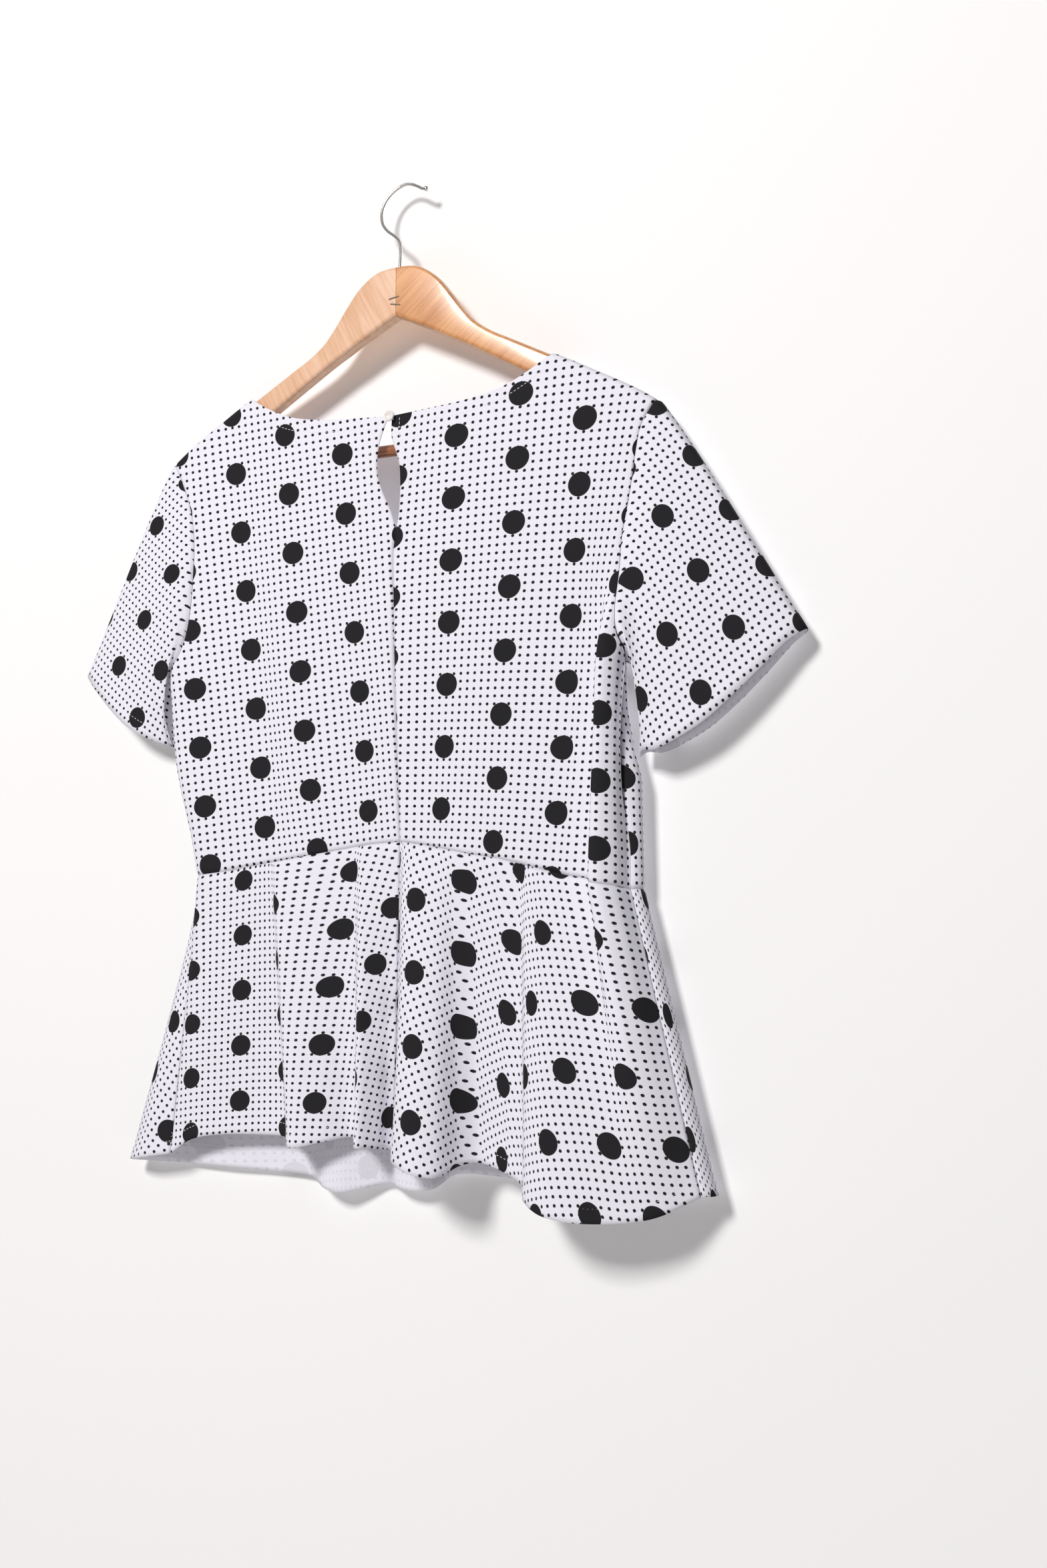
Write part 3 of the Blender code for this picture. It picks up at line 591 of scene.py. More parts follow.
# Outermost width of the hanging bodice: height, left, right
SIDES = (
    (-190, 245, 240),
    (-300, 230, 225),
    (-350, 222, 205),
    (-378, 218, 191),
    (-396, 214, 186),
    (-430, 211, 187),
    (-456, 207, 191),
    (-480, 200.5, 197),
    (-510, 191, 197.5),
    (-560, 180, 198.5),
)
BACK_NECK = ((0, -192.4), (36, -190), (64, -187.4), (91, -182.2), (113, -172.8), (135, -159.5))
SHOULDER = ((135, -159.5), (150, -167), (166, -175.6), (182, -184), (198, -193), (213, -202.8))
KEYHOLE_LEFT = (
    (-2.6, -192.4),
    (-5.2, -197),
    (-10, -209),
    (-12.6, -220),
    (-13.2, -230),
    (-12.2, -240),
    (-7.5, -253),
    (-1.7, -265),
    (1.2, -273),
    (4.0, -282),
)
KEYHOLE_RIGHT = (
    (0.1, -192.4),
    (-0.4, -197),
    (-0.4, -209),
    (3.6, -221),
    (6.6, -231),
    (7.6, -245),
    (7.3, -258),
    (6.4, -272),
    (4.0, -282),
)
CENTRE_BACK = ((4.0, -282), (1.4, -300), (2, -335), (3.5, -390), (6, -450), (9.2, -521.7))
ARMHOLE_BACK_LEFT = (
    (213, -200.2),
    (201, -224),
    (193, -245),
    (189.5, -266),
    (189, -290),
    (191, -321),
    (195, -345),
    (203, -363),
    (213, -375),
    (226, -385),
)
ARMHOLE_BACK_RIGHT = (
    (213, -205.4),
    (202, -224),
    (198, -241),
    (195, -262),
    (190.5, -286),
    (186.5, -307),
    (184, -338),
    (182.5, -360),
    (184, -380),
    (194.9, -397),
)
SIDE_SEAM_LEFT = (
    (226, -385),
    (222, -402),
    (220.5, -430),
    (216.2, -456),
    (209.6, -480),
    (200, -510),
    (191.5, -544.4),
)
SIDE_SEAM_RIGHT = (
    (194.9, -397),
    (190, -415),
    (186.5, -440),
    (185.5, -460),
    (186.5, -489),
    (190, -513),
    (192.5, -535),
    (192.5, -559.4),
)
WAIST_LEFT = (
    (-9.2, -521.7),
    (16, -523),
    (39, -526),
    (67, -529.5),
    (93, -533),
    (117, -536.3),
    (145, -540.4),
    (191.5, -544.4),
)
WAIST_RIGHT = (
    (9.2, -521.7),
    (30, -524.5),
    (66, -532),
    (89, -535.6),
    (111, -541),
    (139, -547.6),
    (159, -553.6),
    (192.5, -559.4),
)
NECK_COLUMNS = 52
SHOULDER_COLUMNS = 34
ARMHOLE_ROWS = 60
SIDE_ROWS = 44
KEYHOLE_ROWS = 32

# Where the print's columns fall on each half: column, then girth at each of the heights above it
PRINT_HEIGHTS_LEFT = (-200.0, -320.0, -440.0, -540.0)
PRINT_LEFT = (
    (-22, -269, -258, -243, -229),
    (-14, -213, -202, -186, -173),
    (-10, -186, -171, -155, -143),
    (-6, -155.5, -140.5, -126.5, -115.5),
    (-4, -142, -127.5, -112.5, -102),
    (0, -117, -106.5, -94.5, -80),
    (4, -92, -80, -69, -55),
    (8, -65.5, -54.5, -40.5, -31),
    (12, -39.5, -30, -17.5, -9),
    (16, -14.5, -6.5, 3.5, 13),
    (20, 12, 18, 27, 37),
)
PRINT_HEIGHTS_RIGHT = (-200.0, -300.0, -380.0, -440.0, -540.0)
PRINT_RIGHT = (
    (-14, -7, -13, -15, -17, -19),
    (-10, 20, 13, 10.4, 9.5, 8),
    (-6, 43, 38.8, 37.2, 36, 32.5),
    (-2, 69.8, 64.6, 61, 58, 51.5),
    (2, 95.2, 89.7, 84.1, 80.8, 75),
    (6, 121.5, 114.5, 108.5, 103.9, 96.5),
    (10, 147.8, 140.4, 134.8, 130, 121),
    (14, 173.5, 163, 157.3, 153.1, 144),
    (16, 187, 172.3, 162.5, 158.5, 151),
    (18, 199, 182.5, 169, 165.5, 160),
    (20, 212, 194, 177, 173.5, 170.5),
    (24, 238, 222, 197, 188, 190),
)
# For each half: those heights, that table, and the column and row where the pattern starts
PRINTS = {
    -1: (PRINT_HEIGHTS_LEFT, PRINT_LEFT, 11, 1),
    1: (PRINT_HEIGHTS_RIGHT, PRINT_RIGHT, 12, 2),
}


def between(table, key, column=1):
    """The value of a column where the first column reaches key, on straight lines between rows."""
    ordered = sorted(table)
    if key <= ordered[0][0]:
        return ordered[0][column]
    for low, high in zip(ordered, ordered[1:]):
        if key <= high[0]:
            share = (key - low[0]) / (high[0] - low[0])
            return low[column] + share * (high[column] - low[column])
    return ordered[-1][column]


def curved_between(pairs, key):
    """The value at key on a smooth curve through pairs that rise in their first number."""
    last = len(pairs) - 1
    index = 0
    while index < last - 1 and pairs[index + 1][0] < key:
        index += 1
    (x0, y0), (x1, y1) = pairs[index], pairs[index + 1]
    slope = (y1 - y0) / (x1 - x0)
    before = (y0 - pairs[index - 1][1]) / (x0 - pairs[index - 1][0]) if index > 0 else slope
    after = (pairs[index + 2][1] - y1) / (pairs[index + 2][0] - x1) if index + 2 <= last else slope
    if not x0 <= key <= x1:
        return y0 + slope * (key - x0) if key < x0 else y1 + slope * (key - x1)
    near, far = (before + slope) / 2, (slope + after) / 2
    t = (key - x0) / (x1 - x0)
    run = x1 - x0
    return (
        y0 * (2 * t**3 - 3 * t**2 + 1)
        + near * run * (t**3 - 2 * t**2 + t)
        + y1 * (3 * t**2 - 2 * t**3)
        + far * run * (t**3 - t**2)
    )


def print_column(side, girth, z):
    """The print's column at a place on one half of the back."""
    heights, table = PRINTS[side][:2]
    pairs = []
    for row in table:
        line = list(zip(heights[::-1], row[:0:-1]))
        pairs.append((curved_between(line, z), row[0]))
    return curved_between(pairs, girth)


def print_row(side, girth, z):
    """The print's row there: the cloth drops a little where it hangs off the hanger."""
    if side < 0:
        level = -50.61 - 0.00351 * girth - 0.16453 * z
        return level + 1.14e-5 * girth**2 - 4.34e-5 * girth * z + 9.5e-6 * z**2
    level = -57.92 + 0.0192 * girth - 0.16438 * z
    return level - 3.97e-5 * girth**2 + 4.62e-5 * girth * z + 1.05e-5 * z**2


def smoothstep(low, high, value):
    share = min(max((value - low) / (high - low), 0.0), 1.0)
    return share * share * (3 - 2 * share)


def crest(x):
    return between(CREST, abs(x)) - SHOULDER_TILT * x


def rounding(distance, radius):
    inside = min(max(distance / radius, 0.0), 1.0)
    return math.sqrt(1 - (1 - inside) ** 2)


def face_depth(face, x, z):
    """Depth of the back (-1) or front (+1) of the bodice, before the side folds."""
    middle = arm_middle(x)
    drop = crest(x) - z
    top = middle + face * 8.0 * rounding(drop, 6.0)
    hanging = 7.5 if face > 0 else -17.8 + 6.8 * min(abs(x) / 200.0, 1.1) ** 2.2
    return top + (hanging - top) * smoothstep(0.0, 70.0, drop)


def side_width(side, z):
    return between(SIDES, z, 1 if side < 0 else 2)


def bodice_point(face, girth, z):
    """The point of the bodice at a girth along one face, round the side fold where it reaches it."""
    side = -1 if girth < 0 else 1
    flat = side_width(side, z) - SIDE_ROUND
    beyond = abs(girth) - flat
    if beyond <= 0:
        return Vector((girth, face_depth(face, girth, z), z))
    turn = beyond / SIDE_ROUND
    near = face_depth(face, side * flat, z)
    far = face_depth(-face, side * flat, z)
    middle = (near + far) / 2
    x = side * (flat + SIDE_ROUND * math.sin(turn))
    return Vector((x, middle + (near - middle) * math.cos(turn), z))


# The deep fold of the right half: print column, then shift to the right and out of the cloth
DEEP_FOLD = (
    (14, 0, 0),
    (15, 3.3, 0.3),
    (16, 6.6, 1),
    (17, 9, 3),
    (17.7, 7.5, 7),
    (18.3, 4.2, 11),
    (19, 1.7, 15),
    (19.5, 1.4, 17),
    (20, 2.5, 17.8),
    (21, 4.4, 15),
    (22, 4.7, 10.5),
    (23, 2.6, 5),
    (24, 0, 0),
)


def back_point(side, girth, z):
    """The back with its folds."""
    point = bodice_point(-1, girth, z)
    if side > 0:
        strength = smoothstep(-325.0, -402.0, z)
        column = print_column(side, girth, z)
        if strength > 0 and DEEP_FOLD[0][0] < column < DEEP_FOLD[-1][0]:
            point.x += strength * curved_between([(row[0], row[1]) for row in DEEP_FOLD], column)
            point.y -= strength * curved_between([(row[0], row[2]) for row in DEEP_FOLD], column)
    return point


def front_girth(side, girth, z):
    """The girth along the front of a point whose girth is given along the back."""
    flat = side_width(side, z) - SIDE_ROUND
    return side * (2 * flat + math.pi * SIDE_ROUND - abs(girth))


def shares_of(line):
    lengths = lengths_of(line)
    return [length / lengths[-1] for length in lengths]


def patch(top, bottom, start, end, crowded):
    """A net of points spread between four edges, each a list of points in girth and height."""
    across, down = len(top) - 1, len(start) - 1
    falls = [(a + b) / 2 for a, b in zip(shares_of(start), shares_of(end))]
    rows = []
    for j in range(down + 1):
        v = falls[j]
        row = []
        for i in range(across + 1):
            u = i / across
            spread = top[i] * (1 - v) + bottom[i] * v + start[j] * (1 - u) + end[j] * u
            corners = (top[0] * (1 - u) + top[-1] * u) * (1 - v)
            corners += (bottom[0] * (1 - u) + bottom[-1] * u) * v
            row.append(spread - corners)
        fade = smoothstep(0.1, 0.5, v)
        own = shares_of(row)
        rows.append(spaced(row, [a + (b - a) * fade for a, b in zip(own, crowded)]))
    return rows


def closer_at_end(count, power=1.8):
    return [1 - (1 - step / count) ** power for step in range(count + 1)]


def closer_at_start(count, power=1.35):
    return [(step / count) ** power for step in range(count + 1)]


def mirrored(rows, side):
    return [(side * row[0], row[1]) for row in rows]


def tilted(rows, side):
    """Shoulder and neck rows, with the small tilt of the hanger."""
    return [Vector((side * row[0], row[1] - SHOULDER_TILT * side * row[0])) for row in rows]


def down_edge(armhole, side_seam, side):
    """The outer edge of a panel, from the armhole and the side seam under it."""
    upper = spaced(smooth_line(mirrored(armhole, side)), closer_at_start(ARMHOLE_ROWS))
    lower = spaced(smooth_line(mirrored(side_seam, side)), evenly(SIDE_ROWS))
    return upper + lower[1:]


def cloth(name, rows, prints, sinks, turned=False):
    """Cloth over a net of points in millimetres, with the print's place and the sink at each."""
    down, across = len(rows) - 1, len(rows[0]) - 1
    shell = bmesh.new()
    bmesh.ops.create_grid(shell, x_segments=across, y_segments=down, size=1.0)
    layer = shell.loops.layers.uv.new("print")
    places = {}
    for corner in shell.verts:
        i = round((corner.co.x + 1) / 2 * across)
        j = round((1 - corner.co.y) / 2 * down)
        corner.co = rows[j][i] * MM
        places[corner] = (i, j)
    for face in shell.faces:
        for loop in face.loops:
            i, j = places[loop.vert]
            u, v = prints[j][i]
            loop[layer].uv = (u * DOT_PITCH * MM, v * DOT_PITCH * MM)
    if turned:
        bmesh.ops.reverse_faces(shell, faces=shell.faces)
    shell.normal_update()
    moves = {corner: corner.normal * sinks(*places[corner]) * MM for corner in shell.verts}
    for corner, move in moves.items():
        corner.co += move
    shell.normal_update()
    piece = placed(name, shell, crepe_face, crepe_inside)
    thickness = piece.modifiers.new("thickness", "SOLIDIFY")
    thickness.thickness = CLOTH_THICKNESS * MM
    thickness.offset = 0.0
    thickness.material_offset = 1
    thickness.use_even_offset = False
    thickness.use_quality_normals = True
    return piece


SEAM_SINK = 0.9
SEAM_REACH = 1.6


def seam_sink(distance):
    """How far the cloth sinks this far from a seam, in millimetres."""
    return -SEAM_SINK * math.exp(-((distance / SEAM_REACH) ** 2))


def distances(net):
    """For each point of a net, how far it lies from the start, end, top and bottom."""
    down, across = len(net), len(net[0])
    along_rows = [lengths_of(row) for row in net]
    columns = [lengths_of([net[j][i] for j in range(down)]) for i in range(across)]
    return [
        [
            (
                along_rows[j][i],
                along_rows[j][-1] - along_rows[j][i],
                columns[i][j],
                columns[i][-1] - columns[i][j],
            )
            for i in range(across)
        ]
        for j in range(down)
    ]


EDGES = {
    -1: (ARMHOLE_BACK_LEFT, SIDE_SEAM_LEFT, WAIST_LEFT, KEYHOLE_LEFT),
    1: (ARMHOLE_BACK_RIGHT, SIDE_SEAM_RIGHT, WAIST_RIGHT, KEYHOLE_RIGHT),
}


def back_bodice(name, side):
    armhole, side_seam, waist, keyhole = EDGES[side]
    first_column, first_row = PRINTS[side][2:]
    neck = tilted(BACK_NECK, side)
    neck[0] = Vector(keyhole[0])
    centre_rows = ARMHOLE_ROWS + SIDE_ROWS - KEYHOLE_ROWS
    top = spaced(smooth_line(neck), evenly(NECK_COLUMNS))
    top += spaced(smooth_line(tilted(SHOULDER, side)), evenly(SHOULDER_COLUMNS))[1:]
    outer = down_edge(armhole, side_seam, side)
    centre = spaced(smooth_line(keyhole), closer_at_start(KEYHOLE_ROWS))
    centre += spaced(smooth_line(CENTRE_BACK), evenly(centre_rows))[1:]
    crowded = closer_at_end(len(top) - 1, 1.35)
    bottom = spaced(smooth_line(mirrored(waist, side)), crowded)
    bottom[0] = centre[-1]
    top[-1] = outer[0]
    bottom[-1] = outer[-1]
    flat = patch(top, bottom, centre, outer, crowded)
    net = [[back_point(side, *point) for point in row] for row in flat]
    prints = [
        [
            (print_column(side, *point) - first_column, print_row(side, *point) - first_row)
            for point in row
        ]
        for row in flat
    ]
    gaps = distances(net)
    keyhole_end = KEYHOLE_ROWS + 2

    def sinks(i, j):
        centre_gap, outer_gap, top_gap, waist_gap = gaps[j][i]
        sink = seam_sink(outer_gap) + seam_sink(waist_gap)
        if j >= keyhole_end:
            sink += seam_sink(centre_gap)
        if i >= NECK_COLUMNS:
            sink += seam_sink(top_gap)
        return max(sink, -SEAM_SINK)

    piece = cloth(name, net, prints, sinks, turned=side < 0)
    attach(piece, "root")
    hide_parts(name.replace("panel", "bodice"))
    return piece, net


left_panel, left_net = back_bodice("back_panel_left", -1)
right_panel, right_net = back_bodice("back_panel_right", 1)

# ---------------------------------------------------------------------------------------------
# Front bodice: one piece, which hangs against the wall; its inside shows through the keyhole and
# its right edge under the arm.
FRONT_NECK = ((0, -272), (30, -269), (62, -254), (90, -230), (112, -201), (126, -177), (135, -159.5))
ARMHOLE_FRONT_LEFT = (
    (213, -200.2),
    (198, -228),
    (189, -262),
    (187, -300),
    (191, -335),
    (203, -363),
    (226, -385),
)
ARMHOLE_FRONT_RIGHT = (
    (213, -205.4),
    (197, -232),
    (188, -270),
    (183.5, -310),
    (182, -345),
    (184.5, -375),
    (194.9, -397),
)
FRONT_WAIST = ((-0.5, -549.5), (0, -553.0), (0.5, -557.0))
PRINT_PITCH_ACROSS = 6.4
PRINT_PITCH_DOWN = 5.97


def closer_at_both(count, crowding):
    """Shares that draw together towards both ends."""
    ends = [math.sin(2 * math.pi * share) / (2 * math.pi) for share in evenly(count)]
    return [share - crowding * end for share, end in zip(evenly(count), ends)]


def front_bodice(name):
    edges = {}
    for side, armhole in ((-1, ARMHOLE_FRONT_LEFT), (1, ARMHOLE_FRONT_RIGHT)):
        upper = spaced(smooth_line(mirrored(armhole, side)), closer_at_start(ARMHOLE_ROWS))
        lower = spaced(smooth_line(mirrored(EDGES[side][1], side)), evenly(SIDE_ROWS))
        lower = [Vector((front_girth(side, point[0], point[1]), point[1])) for point in lower]
        edges[side] = upper[:-1] + lower
    neck = tilted(FRONT_NECK, 1)
    half_top = spaced(smooth_line(neck), closer_at_end(NECK_COLUMNS, 1.6))
    half_top += spaced(smooth_line(tilted(SHOULDER, 1)), evenly(SHOULDER_COLUMNS))[1:]
    top = [Vector((-point[0], point[1] + 2 * SHOULDER_TILT * point[0])) for point in half_top[:0:-1]]
    top += half_top
    top[0] = edges[-1][0]
    top[-1] = edges[1][0]
    left, right = edges[-1][-1], edges[1][-1]
    crowded = closer_at_both(len(top) - 1, 0.6)
    bottom = spaced(smooth_line((left, FRONT_WAIST[1], right)), crowded)
    flat = patch(top, bottom, edges[-1], edges[1], crowded)
    net = [[bodice_point(1, *point) for point in row] for row in flat]
    prints = [[(-p[0] / PRINT_PITCH_ACROSS + 3, -p[1] / PRINT_PITCH_DOWN) for p in row] for row in flat]
    gaps = distances(net)

    def sinks(i, j):
        left_gap, right_gap, top_gap, waist_gap = gaps[j][i]
        sink = seam_sink(left_gap) + seam_sink(right_gap) + seam_sink(waist_gap)
        if abs(net[0][i].x) > SHOULDER[0][0]:
            sink += seam_sink(top_gap)
        return max(sink, -SEAM_SINK)

    piece = cloth(name, net, prints, sinks, turned=True)
    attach(piece, "root")
    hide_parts("front_bodice")
    return piece, net


front_panel, front_net = front_bodice("front_panel")

# ---------------------------------------------------------------------------------------------
# Sleeves: short and set in, each one piece with its seam under the arm and a turned, topstitched
# hem. They hang flat over the ends of the hanger, with the print lying across.
HEM_BACK_LEFT = (
    (-302, 0, -371.5),
    (-300, -5, -373.5),
    (-293, -9, -380.5),
    (-283, -11, -391),
    (-270, -12.5, -404),
    (-254, -13, -418),
    (-238, -12, -427.5),
    (-225, -9, -433),
    (-216.5, -5.5, -436),
    (-215.3, 0, -437),
)
HEM_BACK_RIGHT = (
    (319, 0, -382),
    (316.5, -5, -384),
    (306, -9, -391.5),
    (290, -12, -407.5),
    (269, -14.5, -427),
    (248, -15.5, -444),
    (228, -15, -455),
    (211, -13, -461.5),
    (200, -7, -461),
    (195.5, 0, -464.5),
)
SLEEVE_ROWS = 44
SLEEVE_HEM = 10.0


def fullness(share):
    """How far the front of a sleeve hem stands off its middle, from its fold to its underarm."""
    return max(math.sin(math.pi * share), 0.0) ** 0.4


def unrolled(net):
    """The net laid flat, strip by strip, keeping the lengths of its columns and of its two ends."""
    down = len(net) - 1

    def meet(a, b, from_a, from_b, leftwards):
        """The point at these distances from two others."""
        base = b - a
        along = (from_a**2 - from_b**2 + base.length_squared) / (2 * base.length)
        up = math.sqrt(max(from_a**2 - along**2, 0.0))
        ahead = base.normalized()
        return a + ahead * along + Vector((-ahead.y, ahead.x)) * (up if leftwards else -up)

    tops = [Vector((0.0, 0.0))]
    bottoms = [Vector((0.0, -(net[down][0] - net[0][0]).length))]
    for i in range(1, len(net[0])):
        top, bottom = net[0][i], net[down][i]
        before_top, before_bottom = net[0][i - 1], net[down][i - 1]
        t = meet(
            tops[-1], bottoms[-1], (top - before_top).length, (top - before_bottom).length, True
        )
        b = meet(bottoms[-1], t, (bottom - before_bottom).length, (bottom - top).length, False)
        tops.append(t)
        bottoms.append(b)
    rows = []
    for j in range(down + 1):
        row = []
        for i in range(len(net[0])):
            column = [net[k][i] for k in range(down + 1)]
            row.append(tops[i].lerp(bottoms[i], shares_of(column)[j]))
        rows.append(row)
    return rows


def sleeve(name, node_name, side, back_net, hem_rows, chart):
    front_column = 0 if side < 0 else -1
    back_ring = [back_net[j][-1] for j in range(ARMHOLE_ROWS + 1)]
    front_ring = [front_net[j][front_column] for j in range(ARMHOLE_ROWS + 1)]
    hem_back = spaced(smooth_line(hem_rows), closer_at_both(ARMHOLE_ROWS, 0.5))
    hem_front = [
        Vector((point[0], 7.0 * fullness(j / ARMHOLE_ROWS), point[2])) for j, point in enumerate(hem_back)
    ]
    armhole_ring = back_ring[::-1] + front_ring[1:]
    hem_ring = hem_back[::-1] + hem_front[1:]
    last = len(hem_ring) - 1
    rows = []
    for j in range(SLEEVE_ROWS + 1):
        v = j / SLEEVE_ROWS
        row = []
        for i, (start, finish) in enumerate(zip(armhole_ring, hem_ring)):
            underarm = abs(2 * i / last - 1)
            outward = Vector((side, 0, -0.55 * (1 - underarm) ** 2)).normalized()
            turn = start + outward * (10.0 + 5.0 * underarm**2)
            point = start * (1 - v) ** 2 + turn * 2 * v * (1 - v) + finish * v**2
            swell = 4.0 * math.sin(math.pi * v) * math.sin(math.pi * underarm**2)
            point.y += -swell if i < last / 2 else swell
            row.append(point)
        rows.append(row)
    flat = unrolled(rows)
    prints = [[chart(point) for point in row] for row in flat]
    gaps = distances(rows)

    def sinks(i, j):
        start_gap, end_gap, top_gap, hem_gap = gaps[j][i]
        sink = seam_sink(top_gap) + seam_sink(start_gap) + seam_sink(end_gap)
        lift = 0.45 * smoothstep(SLEEVE_HEM + 0.8, SLEEVE_HEM - 0.4, hem_gap)
        return max(sink, -SEAM_SINK) + lift

    piece = cloth(name, rows, prints, sinks, turned=side < 0)
    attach(piece, "root")
    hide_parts(node_name)
    return piece, rows


def flat_chart(turn, start, pitches, mirror=1):
    """The print laid over flat cloth: turned, then moved by a number of columns and rows."""
    c, s = math.cos(math.radians(turn)), math.sin(math.radians(turn))

    def chart(point):
        x, y = point[0] * mirror, point[1]
        return ((c * x - s * y) / pitches[0] + start[0], -(s * x + c * y) / pitches[1] + start[1])

    return chart


LEFT_SLEEVE_PRINT = flat_chart(194.0, (-13.05, -11.1), (5.4, 5.6), mirror=-1)
RIGHT_SLEEVE_PRINT = flat_chart(167.8, (2.1, 6.0), (5.45, 6.15))
sleeve_left, sleeve_left_net = sleeve(
    "left_sleeve", "sleeve_left", -1, left_net, HEM_BACK_LEFT, LEFT_SLEEVE_PRINT
)
sleeve_right, sleeve_right_net = sleeve(
    "right_sleeve", "sleeve_right", 1, right_net, HEM_BACK_RIGHT, RIGHT_SLEEVE_PRINT
)

# ---------------------------------------------------------------------------------------------
# Peplum: two flared back pieces and one front piece, cut in the round and sewn to the waist, so
# that they fall in deep folds. The hem is turned up once and held by a coverstitch.
# Girth at the waist, place of the fold at the hem, and how far the flared cut has turned there
BACK_FOLDS_LEFT = (
    (-191.5, -201.8, -10, -764, 0),
    (-165, -178, -13, -751, 2.2),
    (-140, -148, -12, -746, 4.9),
    (-118, -114, -9, -745, 7.9),
    (-107, -92, -11, -745.5, 10),
    (-103, -77, -30, -751, 12.2),
    (-76, -54, -25, -746.5, 14.3),
    (-42, -35, -14, -742.5, 16.4),
    (-30, -26, -17, -744, 17.4),
    (-24, -18.5, -32, -748, 19.3),
    (-9, -9, -20, -749, 20.8),
    (2, -5, -9.5, -750.5, 21.9),
    (7, -2.4, -6.6, -751, 22.3),
    (9.2, -0.4, -6.2, -751, 22.5),
)
BACK_FOLDS_RIGHT = (
    (9.2, -0.4, -6.2, -751, 0),
    (10.2, 1.6, -7.4, -751, 0.2),
    (11.2, 4.6, -12.5, -751.3, 0.9),
    (13, 12, -29, -752.5, 2.8),
    (19, 19, -43, -755, 4.7),
    (30, 37, -53, -760.5, 6.5),
    (42, 56, -47, -763, 8.5),
    (54, 65, -25, -756.5, 11.2),
    (65, 77, -14, -755.5, 12),
    (90, 101, -16, -763, 16.5),
    (108, 114, -22, -769.5, 18.5),
    (113, 123, -41, -776, 21.1),
    (123, 141, -49, -784, 24.1),
    (142, 172, -46, -787, 27.4),
    (166, 213, -33, -783, 32),
    (192.5, 243, -14, -769, 35.7),
)
FRONT_FOLDS = (
    (-191.5, -201.8, -10, -764),
    (-187.5, -232, -9, -769),
    (-182, -246.5, -2, -771.5),
    (-174, -241, 6, -773),
    (-145, -205, 8, -773),
    (-110, -155, 7, -774),
    (-85, -115, 8.5, -775),
    (-66, -80, 7, -776.5),
    (-56, -64, -2.5, -783),
    (-46, -50, -3.5, -786),
    (-34, -35, 1, -783.5),
    (-20, -13, 8, -778),
    (-8, 1, 0, -780),
    (8, 17, -1.5, -781),
    (18, 31, 1.5, -778),
    (30, 45, 8.5, -768),
    (62, 85, 9, -768),
    (95, 130, 5, -770),
    (130, 175, 8.5, -771),
    (165, 215, 8, -771),
    (194, 242, 6, -770),
    (206, 250.5, -1, -769),
    (215, 249.5, -8, -769),
    (222.9, 243, -14, -769),
)
PEPLUM_ROWS = 60
PEPLUM_COLUMNS = 130
PEPLUM_HEM = 10.0


FOLD_STEPS = 8
FRONT_CUT_TURN = 52.0


def matched(hem, waist, turns, shares):
    """Points evenly along the hem, each with the waist girth and the turn of the same fold."""
    lengths = lengths_of(hem)
    hem_points, girths, turned = [], [], []
    for share in shares:
        reach = share * lengths[-1]
        index = 0
        while index < len(hem) - 2 and lengths[index + 1] < reach:
            index += 1
        part = (reach - lengths[index]) / (lengths[index + 1] - lengths[index])
        hem_points.append(hem[index].lerp(hem[index + 1], part))
        girths.append(waist[index][0] + part * (waist[index + 1][0] - waist[index][0]))
        fold, within = divmod((index + part) / FOLD_STEPS, 1.0)
        following = min(int(fold) + 1, len(turns) - 1)
        turned.append(turns[int(fold)] * (1 - within) + turns[following] * within)
    return hem_points, girths, turned


def peplum(name, node_name, folds, waist_point, columns, cut):
    """A flared piece, its print lying on a cut that turns about a far centre."""
    radius, first_turn, start, stretch = cut
    hem = smooth_line([row[1:4] for row in folds], steps=FOLD_STEPS)
    waist = smooth_line([(row[0], index) for index, row in enumerate(folds)], steps=FOLD_STEPS)
    turns = [row[4] for row in folds if len(row) > 4]
    turns = turns or [FRONT_CUT_TURN * share for share in evenly(len(folds) - 1)]
    hem_points, girths, turned = matched(hem, waist, turns, evenly(columns))
    rows = []
    prints = []
    for j in range(PEPLUM_ROWS + 1):
        v = j / PEPLUM_ROWS
        row, printed = [], []
        for bottom, girth, turn in zip(hem_points, girths, turned):
            top = waist_point(girth)
            row.append(top.lerp(bottom, v))
            reach = (radius + v * stretch * (bottom - top).length) / DOT_PITCH
            angle = math.radians(turn + first_turn)
            printed.append((reach * math.sin(angle) + start[0], reach * math.cos(angle) + start[1]))
        rows.append(row)
        prints.append(printed)
    gaps = distances(rows)

    def sinks(i, j):
        start_gap, end_gap, top_gap, hem_gap = gaps[j][i]
        sink = seam_sink(top_gap) + seam_sink(start_gap) + seam_sink(end_gap)
        lift = 0.4 * smoothstep(PEPLUM_HEM + 0.8, PEPLUM_HEM - 0.4, hem_gap)
        return max(sink, -SEAM_SINK) + lift

    piece = cloth(name, rows, prints, sinks, turned="front" in name)
    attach(piece, "root")
    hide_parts(node_name)
    return piece, rows


def back_waist_point(girth):
    rows = [(-row[0], row[1]) for row in WAIST_LEFT] + list(WAIST_RIGHT[1:])
    return back_point(-1 if girth < WAIST_RIGHT[0][0] else 1, girth, between(rows, girth))


def front_waist_point(girth):
    left, right = SIDE_SEAM_LEFT[-1], SIDE_SEAM_RIGHT[-1]
    reach = front_girth(1, right[0], right[1])
    rows = [(-left[0], left[1]), (reach, right[1])]
    rows += [(share * (reach if share > 0 else left[0]), height) for share, height in FRONT_WAIST]
    return bodice_point(1, girth, between(rows, girth))


